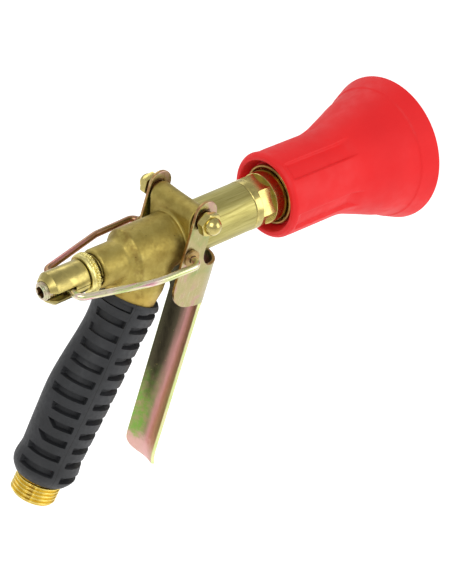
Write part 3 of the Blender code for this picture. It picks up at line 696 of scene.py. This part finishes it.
def settled(points):
    """Points moved onto the forging's outside along its gradient, in six short steps."""
    tiny = 0.02
    for _ in range(6):
        value = forging_distance(points)
        slope = np.stack([(forging_distance(points + tiny * axis) - forging_distance(points - tiny * axis))
                          / (2 * tiny) for axis in np.eye(3)], axis=1)
        length = np.maximum((slope * slope).sum(1), 0.25)
        points = points - np.clip(value / length, -0.6, 0.6)[:, None] * slope
    return points


def merged(meshes):
    """Several meshes as one."""
    work = bmesh.new()
    for mesh in meshes:
        work.from_mesh(mesh)
    made = bpy.data.meshes.new("merged")
    work.to_mesh(made)
    work.free()
    return made


HANDLE_LATHE = HANDLE @ turned(-90, "Y")   # x runs up the handle


def forged_body():
    """Neck, barrel, handle stub and cross arm in one forging, bored through, its front tube brushed."""
    capsule = [(x, z, ARM_HALF * 0.99) for x, z in ((-ARM_HALF, 0), (ARM_HALF, 0), (ARM_HALF, ARM_TOP),
                                                    (-ARM_HALF, ARM_TOP))]
    rough = merged([lathe(BARREL_OUTLINE, BARREL, 96), lathe(STUB_OUTLINE, HANDLE_LATHE, 96),
                    prism(corners(capsule, 10), -ARM_REACH, ARM_REACH, BARREL)])
    skin = modified(rough, "REMESH", mode="VOXEL", voxel_size=SKIN_VOXEL * MM)
    points = np.zeros(len(skin.vertices) * 3)
    skin.vertices.foreach_get("co", points)
    origin = np.array(BARREL.translation)
    points = settled((points.reshape(-1, 3) - origin) / MM)
    skin.vertices.foreach_set("co", (points * MM + origin).ravel())
    skin.update()
    bore = lathe([(-46, 0), (-46, 7.4), (-45, 7.4), (-44.5, 6.9), (-34.5, 6.9), (-34.5, 6.3), (-8, 6.3),
                  (-8, 5.5), (27, 5.5), (27, 8.3), (TUBE_END + 5, 8.3), (TUBE_END + 5, 0)], BARREL, 128)
    end = lathe([(TUBE_END, 7.9), (TUBE_END, TUBE_RADIUS - 0.35), (TUBE_END - 0.35, TUBE_RADIUS + 0.03),
                 (TUBE_END - 0.35, 14), (TUBE_END + 6, 14), (TUBE_END + 6, 7.9)], BARREL, 256)
    waterway = lathe([(90, 0), (90, 3.8), (121, 3.8), (121, 0)], HANDLE_LATHE, 64)
    bolt = [(-20, 0), (-20, 3.3), (-3.6, 3.3), (-3.6, 0)]
    bolts = [lathe(bolt, place(PIVOT_AT) @ turned(90 * side, "Z"), 64) for side in (1, -1)]
    made = carve(skin, bore, end, waterway, *bolts)

    def on_tube(x, y, z):
        return x > ARM_HALF + (1.2 if math.hypot(y, z) < TUBE_RADIUS + 0.6 else 2.5)

    return repaint(made, BARREL, on_tube)


PITCH, THREAD_TOP, CREST, ROOT = 1.814, 10.2, 10.47, 9.32


def helix(x, angle, pitch):
    """A zigzag between 0 and 1 that winds round a turned piece as a right-hand thread does."""
    return np.abs((x / pitch - angle / (2 * math.pi)) % 1 * 2 - 1)


def thread_relief(x, angle, r):
    """A rounded thread cut into the pipe's outside."""
    depth = (CREST - ROOT) * step(0.12, 0.88, helix(x, angle, PITCH))
    return np.where((x < THREAD_TOP) & (r > 8.0), np.minimum(r, CREST - depth), r)


def inlet_pipe():
    """The pipe inside the grip, with its threaded end and the open inlet."""
    outline = [(0, 6.9), (0, 9.1), (1.25, CREST), (THREAD_TOP - 0.5, CREST), (THREAD_TOP, 9.2, 0.2),
               (12, 9.2, 0.2), (12.2, 9.6), (99, 9.6), (99, 3.8), (13.2, 3.8), (11, 6.5), (0.5, 6.5)]
    return lathe(outline, HANDLE_LATHE, 288, thread_relief, most=0.13, until=THREAD_TOP + 0.1)


# -------------------- grip

GRIP_SECTIONS = [                      # height, then reach to the front, the back and each side
    (10.9, 12.6, 12.6, 12.1), (12.7, 14.0, 14.0, 13.4), (24, 14.3, 14.4, 13.7), (40, 14.9, 15.6, 13.9),
    (56, 15.4, 16.1, 14.0), (65, 15.9, 14.6, 13.8), (71, 16.1, 13.2, 13.6), (78, 16.8, 11.7, 13.2),
    (87, 17.8, 10.9, 12.8), (93, 18.1, 11.3, 13.1), (98, 17.4, 12.3, 13.6), (101.3, 16.6, 13.3, 13.9),
    (102.5, 15.6, 13.0, 13.4)]
GRIP_FOOT, GRIP_TOP, GRIP_BORE = 10.9, 102.5, 9.9
WIDE_FIRST, WIDE_PITCH, WIDE_HALF = 18.5, 7.38, 1.55
NARROW_FIRST, NARROW_PITCH, NARROW_HALF = 16.4, 7.45, 1.4
WIDE_FROM, NARROW_TO, REAR, REAR_FAR = 95.5, 79.5, 164.0, 137.0       # degrees from the mould's front line
SHORT_REARS = {2: 147.0, 3: 137.0, 4: 147.0}                          # three wide slots stop sooner
SLOTS, SLOT_DEPTH, WALL, WALL_TURN = 12, 2.8, 0.34, 1.6


def slot_band(s, centre, half):
    """1 within half a slot's width of its centre line, falling to 0 over the wall."""
    return step(half + WALL / 2, half - WALL / 2, np.abs(s - centre))


def slot_depth(s, side, far):
    """How far the grip is cut in at height s and so many degrees from the mould's front line."""
    depth = np.zeros_like(s)
    for k in range(SLOTS):
        centre = WIDE_FIRST + WIDE_PITCH * k
        slant = 5.0 if k in (2, 3) else 0.8
        rear = np.minimum(SHORT_REARS.get(k, REAR) + slant * (s - centre), np.where(far, REAR_FAR, 180.0))
        span = step(WIDE_FROM, WIDE_FROM + WALL_TURN, side) * (1 - step(rear - WALL_TURN, rear, side))
        depth = np.maximum(depth, SLOT_DEPTH * slot_band(s, centre, WIDE_HALF) * span)
        centre = NARROW_FIRST + NARROW_PITCH * k
        span = step(3.0, 6.5, side) * (1 - step(NARROW_TO - WALL_TURN, NARROW_TO, side))
        depth = np.maximum(depth, SLOT_DEPTH * slot_band(s, centre, NARROW_HALF) * span)
    return depth


def moulded_grip():
    """The rubber sleeve: its lofted skin with the slots pressed in, and a plain bore."""
    columns, rows = 360, 400
    heights = np.linspace(GRIP_FOOT, GRIP_TOP, rows)
    stations, *reaches = zip(*GRIP_SECTIONS)
    front, back, flank = (eased(stations, reach, heights)[:, None] for reach in reaches)
    angle = circle(columns)
    s = np.repeat(heights[:, None], columns, axis=1)
    c, n = np.cos(angle)[None, :], np.sin(angle)[None, :]
    x = np.where(c > 0, front, back) * c
    y = -flank * n
    turn = (np.degrees(np.arctan2(n, c)) - SEAM_TURN + 180) % 360 - 180 + 0 * s
    shrink = 1 - slot_depth(s, np.abs(turn), turn < 0) / np.hypot(x, y)
    skin = np.stack([x * shrink, y * shrink, s], axis=-1)
    top = np.minimum(STUB_FOOT + 0.05, np.hypot(x[-1], y[-1]) - 0.4)      # fits the stub, but keeps a rim
    rings = [np.stack([r * np.cos(angle), -r * np.sin(angle), np.full(columns, height)], axis=-1)[None]
             for height, r in ((GRIP_TOP, top), (GRIP_TOP - 4, top), (GRIP_TOP - 4, GRIP_BORE),
                               (GRIP_FOOT, GRIP_BORE))]
    points = np.concatenate([skin] + rings).reshape(-1, 3)
    return mesh_of(points, grid_faces(rows + len(rings), columns, True), HANDLE)


# -------------------- lever

SHEET_T, CHEEK_OUT, BEND_AT = 1.5, 15.7, 8.3
SHEET_R = CHEEK_OUT - SHEET_T / 2
EAR_FRONT, EAR_BACK, EAR_TOP = 6.3, -5.2, 8.5
WEB_TOP, TAB_END, LEVER_END = -22.4, -42.2, -136.4
RIM_FRONT, SHEET_EDGE = 19.5, 0.32
HOOK_AT, HOOK_HOLE, PIVOT_HOLE = (-1.69, -17.19), 1.9, 4.25
CURL_FROM, CURL_AHEAD, CURL_OUT = -125, 3.3, 0.9


def flat(forward):
    """Distance round the sheet from its front middle line to the point so far forward."""
    if forward < BEND_AT:
        return SHEET_R * math.pi / 2 + BEND_AT - forward
    return SHEET_R * math.acos((forward - BEND_AT) / SHEET_R)


def folded(u, z, out):
    """Lever coordinates of points of the flat pattern, so far outside the sheet's middle."""
    angle = np.clip(np.abs(u) / SHEET_R, 0, math.pi / 2)
    past = np.maximum(np.abs(u) - SHEET_R * math.pi / 2, 0)
    curl = np.clip((CURL_FROM - z) / (CURL_FROM - LEVER_END), 0, 1) ** 2
    x = BEND_AT + (SHEET_R + out) * np.cos(angle) - past + CURL_AHEAD * curl
    return np.stack([x, np.sign(u) * (SHEET_R + out + CURL_OUT * curl) * np.sin(angle), z], axis=-1)


def inward(loop, by):
    """A closed loop moved to its left by 'by'."""
    here = np.array(loop)
    along = np.roll(here, -1, axis=0) - np.roll(here, 1, axis=0)
    along /= np.linalg.norm(along, axis=1)[:, None]
    return here + by * np.stack([-along[:, 1], along[:, 0]], axis=-1)


def on_sheet(points, loops, margin):
    """Which points are inside the first loop and outside the others, by a margin."""
    signed = [outline_distance(*points.T, [tuple(p) for p in loop]) for loop in loops]
    return np.minimum.reduce([-signed[0]] + signed[1:]) > margin


def sheet_loops():
    """Edges of the flat pattern, the sheet on the left of each: its outside, then the holes."""
    ear_front, ear_back, rim = flat(EAR_FRONT), flat(EAR_BACK), flat(RIM_FRONT)
    right = [(ear_front, WEB_TOP, 6.5), (ear_front, EAR_TOP, 5.7), (ear_back, EAR_TOP, 5.7),
             (ear_back, TAB_END, 10.5), (rim, TAB_END, 6.0), (rim, LEVER_END, 7.6)]
    left = [(-p[0], *p[1:]) for p in reversed(right)]
    loops = [spread(corners(left + right, 14), 0.8)[::-1]]
    for side in (-1, 1):
        for forward, z, radius in ((0, 0, PIVOT_HOLE), (*HOOK_AT, HOOK_HOLE)):
            loops.append([(side * flat(forward) + radius * math.cos(a), z + radius * math.sin(a))
                          for a in np.linspace(2 * math.pi, 0, 40, endpoint=False)])
    return loops


def folded_sheet():
    """The lever: a flat pattern with holes, given thickness and round edges, folded to its U."""
    loops = sheet_loops()
    inset = [inward(one, SHEET_EDGE) for one in loops]
    us, zs = np.meshgrid(np.arange(-37, 37.1, 1.0), np.arange(LEVER_END, EAR_TOP, 1.6))
    inner = np.stack([us.ravel(), zs.ravel()], axis=-1)
    plane = np.concatenate(inset + [inner[on_sheet(inner, inset, 0.5)]])
    edges, start = [], 0
    for one in inset:
        edges += [(start + k, start + (k + 1) % len(one)) for k in range(len(one))]
        start += len(one)
    found = delaunay_2d_cdt([Vector(p) for p in plane], edges, [], 0, 1e-6, True)
    order = [origin[0] for origin in found[3]]
    triangles = np.array([[order[k] for k in face] for face in found[2]])
    triangles = triangles[on_sheet(plane[triangles].mean(axis=1), inset, 0)]
    half, count = SHEET_T / 2, len(plane)
    points = [folded(*plane.T, half), folded(*plane.T, -half)]
    faces = [tuple(t) for t in triangles] + [tuple(t[::-1] + count) for t in triangles]
    base, start, lanes = 2 * count, 0, 4
    for one in loops:
        n = len(one)
        rings = [np.arange(start, start + n)]
        for k in range(1, 2 * lanes + 1):
            lift = math.radians(90 / lanes * (k if k <= lanes else 2 * lanes + 1 - k))
            moved = inward(one, SHEET_EDGE * (1 - math.sin(lift)))
            height = half - SHEET_EDGE * (1 - math.cos(lift))
            points.append(folded(*moved.T, height if k <= lanes else -height))
            rings.append(np.arange(base, base + n))
            base += n
        rings.append(np.arange(start, start + n) + count)
        for upper, lower in zip(rings, rings[1:]):
            faces += [(upper[k], lower[k], lower[(k + 1) % n], upper[(k + 1) % n]) for k in range(n)]
        start += n
    return edged(mesh_of(np.concatenate(points), faces, LEVER))


def edged(mesh):
    """The folded sheet with its hollow in the second material and its cut edges in the third."""
    inverse = LEVER.inverted()
    for polygon in mesh.polygons:
        centre = inverse @ polygon.center / MM
        normal = inverse.to_3x3() @ polygon.normal
        facing = normal.dot(Vector((max(centre.x - BEND_AT, 0), centre.y, 0)).normalized())
        if abs(facing) < 0.8:
            polygon.material_index = 2
        elif facing < 0 and centre.z < WEB_TOP - 3:
            polygon.material_index = 1
    return mesh


# -------------------- yoke, washers and pivot bolts

WIRE_R, HOOK_X, HOOK_Z, HOOK_END_Y, ARM_Y = 1.5, -6.5, -1.0, 13.5, 22.2
KINK = (-28.2, 21.2, HOOK_Z)
CORNER = (-60.5, 11.7, -0.4)
BOLT_HEX, BOLT_COLLAR, BOLT_DOME = 9.5, 5.6, 3.95


def outward(point, side):
    """A frame at a barrel point in mm whose x axis points out along Y on that side."""
    return place(BARREL @ Vector(p * MM for p in point)) @ turned(90 * side, "Z")


def bent_yoke():
    """One length of wire: hook, arm, kink, corner, crossbar and back."""
    half = [(HOOK_X, HOOK_END_Y, HOOK_Z), (HOOK_X, ARM_Y, HOOK_Z), KINK, CORNER]
    near = [(x, -y, z) for x, y, z in half]
    return swept(bent(near + half[::-1], (3.4, 60.0, 3.4, 3.4, 7.0, 3.4), 12), WIRE_R, BARREL, ends=0.4)


def hook_washer(side):
    """Ridged collar between the hook and the cheek."""
    outline = [(16.0, WIRE_R + 0.3), (16.0, 3.5, 0.15)]
    for start in (16.05, 16.5, 16.95):
        outline += [(start + 0.06, 3.8, 0.1), (start + 0.34, 3.8, 0.1), (start + 0.4, 3.45, 0.05)]
    outline += [(17.4, 2.9, 0.15), (17.4, WIRE_R + 0.3)]
    return lathe(outline, outward((HOOK_X, 0, HOOK_Z), side), 96)


def pivot_bolt(side):
    """Acorn-headed shoulder bolt screwed into the cross arm."""
    at = outward((0, 0, PIVOT_HEIGHT), side)
    collar = [(17.3, 0), (17.3, 5.1), (17.6, BOLT_COLLAR), (20.2, BOLT_COLLAR), (20.65, 4.85), (20.65, 0)]
    head = hexagon(BOLT_HEX, 17.3, 20.6, 13 + 90 * side, at)
    head = carve(head, lathe(collar, at, 128), operation="INTERSECT")
    dome = [(20.4, 0), (20.4, BOLT_DOME)] + [(20.85 + BOLT_DOME * math.sin(a), BOLT_DOME * math.cos(a))
                                             for a in np.linspace(0, math.pi / 2, 24)]
    shank = [(4.4, 0), (4.4, 2.6), (4.9, 3.0), (13.5, 3.0), (13.5, 3.6), (17.5, 3.6), (17.5, 0)]
    return merged([softened(head, 0.14, 25), lathe(dome, at, 128), lathe(shank, at, 96)])


def pivot_washer(side):
    """Plain spacer in the lever's hole."""
    return lathe([(13.4, 3.65), (13.4, 4.1, 0.2), (17.2, 4.1, 0.1), (17.2, 3.65)],
                 outward((0, 0, PIVOT_HEIGHT), side), 96)


# -------------------- stem pieces

KNURLS, KNURL_DEPTH, KNURL_PITCH = 42, 0.5, 2.6
SOCKET_HEX = 4.6


def knurl(x, angle, r):
    """Crossed helical cuts over the front band of the ring."""
    cut = np.zeros_like(r)
    for lean in (1, -1):
        groove = np.abs((angle * KNURLS / (2 * math.pi) + lean * x / KNURL_PITCH) % 1 * 2 - 1)
        cut = np.maximum(cut, KNURL_DEPTH * step(0.45, 1.0, groove))
    return np.where((x > -49.45) & (r > 8.2), r - cut, r)


def lock_ring():
    """Ring nut with a knurled band."""
    outline = [(-51.0, 2.9), (-51.0, 7.9, 0.3), (-50.3, 8.5, 0.4), (-49.5, 8.5), (-49.3, 8.7),
               (-47.35, 8.7), (-47.1, 8.4, 0.1), (-47.1, 2.9)]
    return lathe(outline, BARREL, 400, knurl, most=0.16)


def stem_sleeve():
    """Slotted sleeve that the yoke's crossbar passes through."""
    body = lathe([(-51.4, 2.85), (-51.4, 7.0, 0.25), (-67.0, 7.0, 0.35), (-69.5, 5.0, 0.25), (-69.5, 4.3),
                  (-56.2, 4.3), (-56.2, 2.85)], BARREL, 192)
    slot = block((-71, -9, -2.35), (-58.4, 9, 1.55), BARREL)
    slit = block((-59, -8, -0.55), (-51, -6.3, -0.25), BARREL)
    return softened(carve(body, slot, slit), 0.1, 40)


def screw_relief(x, angle, r):
    """Coarse machine thread on the set screw, 1 mm in pitch."""
    return np.where(r > 3.3, r - 0.5 * step(0.1, 0.9, helix(x, angle, 1.0)), r)


def set_screw():
    """Grub screw with a hexagon socket, its inside painted dark as shade."""
    body = lathe([(-71.2, 0), (-71.2, 3.2, 0.1), (-70.5, 4.0), (-62.8, 4.0), (-62.3, 3.2), (-62.3, 0)],
                 BARREL, 144, screw_relief, most=0.12)
    socket = hexagon(SOCKET_HEX, -73, -66, 8, BARREL)
    lead = lathe([(-71.6, 0), (-71.6, 2.95), (-70.9, 2.3), (-70.9, 0)], BARREL, 64)

    # The socket's inside gets the dark bronze as painted shade in the recess.
    def in_socket(x, y, z):
        return math.hypot(y, z) < 2.7 and -70.9 < x < -64

    return repaint(carve(body, socket, lead), BARREL, in_socket)


def gland_nut():
    """Slotted nut that holds the stem's packing."""
    body = lathe([(-45.2, 2.85), (-45.2, 6.6, 0.3), (-39.7, 6.6, 0.2), (-39.7, 2.85)], BARREL, 128)
    return softened(carve(body, block((-46, -9, -0.7), (-44.3, 9, 0.7), BARREL)), 0.1, 40)


def stem_rod():
    """Rod from the sleeve to the needle."""
    return lathe([(-55.7, 0), (-55.7, 2.1), (-55.3, 2.5), (59.0, 2.5, 0.1), (59.0, 0)], BARREL, 64)


def needle_tip():
    """Pointed tip with a socket on the rod's end."""
    return lathe([(52.6, 2.51), (52.6, 2.52), (59.0, 2.52), (59.0, 0), (60.3, 0), (60.3, 2.4, 0.2),
                  (66.4, 2.4, 0.8), (69.4, 0.5, 0.2), (69.4, 0)], BARREL, 64)


def coil(start, end, radius, turns, count):
    """Points of a helix about the barrel's axis."""
    return [(start + (end - start) * k / count, radius * math.cos(2 * math.pi * turns * k / count),
             radius * math.sin(2 * math.pi * turns * k / count)) for k in range(count + 1)]


def return_spring():
    """Six turns of round wire that push the stem shut."""
    return swept(coil(-33.55, -13.95, 4.5, 6, 180), 0.6, BARREL, 12, 0.1)


# -------------------- outlet pieces

ADAPTER_HEX = 20.4


def outlet_adapter():
    """Spigot, ring, hexagon and polished drum in one turning."""
    outline = [(29.6, 5.5), (29.6, 8.0, 0.4), (35.74, 8.0), (35.74, 11.1), (36.0, 11.38, 0.1),
               (39.2, 11.55, 0.3), (39.9, 11.78), (46.7, 11.78), (47.1, 11.95, 0.4), (52.3, 12.15, 0.2),
               (55.0, 12.15, 0.2), (55.0, 12.7, 0.2), (59.8, 12.7, 0.4), (59.8, 9.0, 0.2), (67.2, 9.0, 0.3),
               (67.2, 6.5), (58.6, 6.5), (58.6, 5.5)]
    collar = lathe([(39.3, 14), (39.3, 9), (46.9, 9), (46.9, 14)], BARREL, 64)
    cutter = carve(collar, hexagon(ADAPTER_HEX, 38, 49, 3, BARREL))
    return softened(carve(lathe(outline, BARREL, 256), cutter), 0.07, 28)


def spiral_ring():
    """Two turns of round wire that hold the guard on the drum."""
    return swept(coil(52.9, 54.4, 13.5, 2, 240), 0.75, BARREL, 14, 0.2)


def nozzle_cap():
    """Cap over the swirl core, with a flange that the guard can't pass."""
    return lathe([(60.1, 9.3), (60.1, 15.0, 0.3), (62.3, 15.0, 0.5), (62.3, 12.5, 0.3), (73.6, 12.5, 0.8),
                  (73.6, 5.0, 0.8), (70.7, 5.0), (70.7, 9.3)], BARREL, 160)


def orifice_disc():
    """Disc whose hole opens out to the front."""
    outline = [(68.6, 1.4), (68.6, 8.7, 0.2), (70.4, 8.7, 0.2), (70.4, 2.6, 0.1), (69.2, 1.4, 0.1)]
    return lathe(outline, BARREL, 128)


FLUTES = (50, 122, 194, 266, 338)
FLUTE_HALF, FLUTE_FLOOR, FLUTE_DEPTH = 12.3, 19.0, 2.2
BELL_WALL = 2.65
BELL = [(83, 20.5), (87, 20.8), (92, 21.8), (98, 23.8), (104.4, 26.0), (110.5, 28.2), (117, 30.2),
        (119.4, 31.05)]


def guard_relief(x, angle, r):
    """Five flutes that end where the bell opens out."""
    degrees = np.degrees(angle)
    near = np.minimum.reduce([np.abs((degrees - centre + 180) % 360 - 180) for centre in FLUTES])
    window = 1 - step(FLUTE_HALF - 2.0, FLUTE_HALF + 1.4, near)
    ends = step(52.2, 55.2, x) * (1 - step(85.0, 94.0, x))
    cut = np.clip(r - FLUTE_FLOOR, 0, FLUTE_DEPTH) * window * ends
    return np.where((r > 18.8) & (x < 96), r - cut, r)


def cone_guard():
    """The red bell that rides on the drum, its wall the same all along."""
    stations, radii = zip((55.5, 20.3), *BELL)
    xs = np.linspace(BELL[0][0], BELL[-1][0], 120)
    outer = list(zip(xs, eased(stations, radii, xs)))
    inner = [(x, r - BELL_WALL) for x, r in outer[::-2]]
    lip = [(120.0, 31.35, 0.6), (120.6, 32.0, 0.8), (128.7, 35.3, 0.5), (129.3, 34.6, 0.5),
           (129.3, 32.6, 0.5), (120.5, 29.4)]
    rear = [(59.6, 17.7, 0.3), (59.6, 13.0, 0.3), (55.3, 13.0, 0.3), (55.3, 14.8, 0.3), (53.4, 15.6, 2.0),
            (50.6, 16.6, 0.3)]
    sleeve = [(50.0, 17.0, 0.3), (50.0, 18.6, 1.3), (51.6, 20.15, 2.0), (56, 20.3)]
    return lathe(sleeve + outer + lip + inner + rear, GUARD, 480, guard_relief, most=0.9)


# -------------------- the object

def build():
    """Every piece of the object, each on its body."""
    show("forging", forged_body(), "frame", [CAST, DRAWN], ["body_forging"])
    show("inlet_pipe", inlet_pipe(), "frame", THREAD, ["body_forging"], 50)
    show("grip", moulded_grip(), "frame", GRIP, ["grip_sleeve"], 40)
    show("gland", gland_nut(), "frame", FITTING, ["gland_nut"])
    show("adapter", outlet_adapter(), "frame", POLISHED, ["outlet_adapter"])
    show("retainer", spiral_ring(), "frame", COIL, ["spiral_ring"], 60)
    show("cap", nozzle_cap(), "frame", FITTING, ["nozzle_cap"])
    show("orifice", orifice_disc(), "frame", STEEL, ["orifice_disc"])
    spring = show("spring", return_spring(), "frame", STEEL, ["return_spring"], 60)
    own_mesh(spring)
    for side, name in ((-1, "right"), (1, "left")):
        show("bolt_" + name, pivot_bolt(side), "frame", POLISHED, ["pivot_bolt_" + name])
        show("spacer_" + name, pivot_washer(side), "frame", DARK_BRONZE_AND_SHADE, ["pivot_washer_" + name])
        show("collar_" + name, hook_washer(side), "yoke", COLLAR, ["hook_washer_" + name])
    show("trigger_lever", folded_sheet(), "trigger", [SHEET, HOLLOW, EDGE], ["lever"], 45)
    show("yoke_wire", bent_yoke(), "yoke", WIRE, ["wire_yoke"], 60)
    show("rod", stem_rod(), "stem", STEEL, ["stem_rod"])
    show("needle", needle_tip(), "stem", FITTING, ["needle_tip"])
    show("sleeve", stem_sleeve(), "stem", FITTING, ["stem_sleeve"])
    show("knurled_ring", lock_ring(), "stem", KNURLED, ["lock_ring"], 60)
    show("adjusting_screw", set_screw(), "adjuster", [SCREW_ZINC, DARK_BRONZE_AND_SHADE], ["set_screw"], 50)
    show("bell_guard", cone_guard(), "guard", RED, ["cone_guard"], 40)
    for finish, names in ((SEAL, ("stem_seal", "adapter_o_ring", "needle_seal", "orifice_seal")),
                          (FITTING, ("packing_washer", "spring_seat", "swirl_core"))):
        for name in names:
            slots = frame["nodes"][name].data.materials
            slots.clear()
            slots.append(finish)


# -------------------- studio

FLOOR_HALF, FLOOR_DROP = 9000, 0.45     # the floor lies so many metres below the inlet
LIGHT_AIM = Vector((0.08, 0, 0.07))
CAMERA_AT = (-0.22494, -0.34496, 0.41851)
AZIMUTH, ELEVATION, ROLL = math.radians(-44.12), math.radians(36.48), math.radians(4.6)


def soft_light(name, at, size, power):
    """A rectangular lamp aimed at the middle of the object."""
    lamp = bpy.data.lights.new(name, "AREA")
    lamp.shape = "RECTANGLE"
    lamp.size, lamp.size_y = size
    lamp.energy = power
    obj = linked(name, lamp)
    obj.location = at
    obj.rotation_mode = "QUATERNION"
    obj.rotation_quaternion = (LIGHT_AIM - Vector(at)).to_track_quat("-Z", "Y")


def studio():
    """Pale floor, an even sky, soft lamps and the camera."""
    scene = bpy.context.scene
    square = [(x * FLOOR_HALF, y * FLOOR_HALF, 0) for x, y in ((-1, -1), (1, -1), (1, 1), (-1, 1))]
    floor = new_object("floor", mesh_of(square, [(0, 1, 2, 3)], place(Vector((0, 0, -FLOOR_DROP)))))
    floor.data.materials.append(floor_paint())
    world = bpy.data.worlds.new("tent")
    world.use_nodes = True
    sky = world.node_tree.nodes["Background"]
    sky.inputs["Color"].default_value = (1.0, 1.0, 1.0, 1.0)
    sky.inputs["Strength"].default_value = 0.6
    scene.world = world
    soft_light("key", (-0.7, -0.5, 1.1), (0.9, 0.9), 8)
    soft_light("side", (0.9, -1.0, 0.5), (0.8, 1.0), 6)
    soft_light("back", (0.3, 1.2, 0.9), (1.2, 0.6), 4)
    back = Vector((math.sin(AZIMUTH) * math.cos(ELEVATION), -math.cos(AZIMUTH) * math.cos(ELEVATION),
                   math.sin(ELEVATION)))
    lens = bpy.data.cameras.new("camera")
    lens.lens, lens.sensor_width = 79.87, 36.0
    lens.clip_start, lens.clip_end = 0.02, 50.0
    camera = linked("camera", lens)
    camera.rotation_mode = "QUATERNION"
    level = (-back).to_track_quat("-Z", "Y")
    camera.rotation_quaternion = level @ Matrix.Rotation(ROLL, 3, "Z").to_quaternion()
    camera.location = CAMERA_AT
    scene.camera = camera
    scene.view_settings.view_transform = "Standard"


build()
studio()
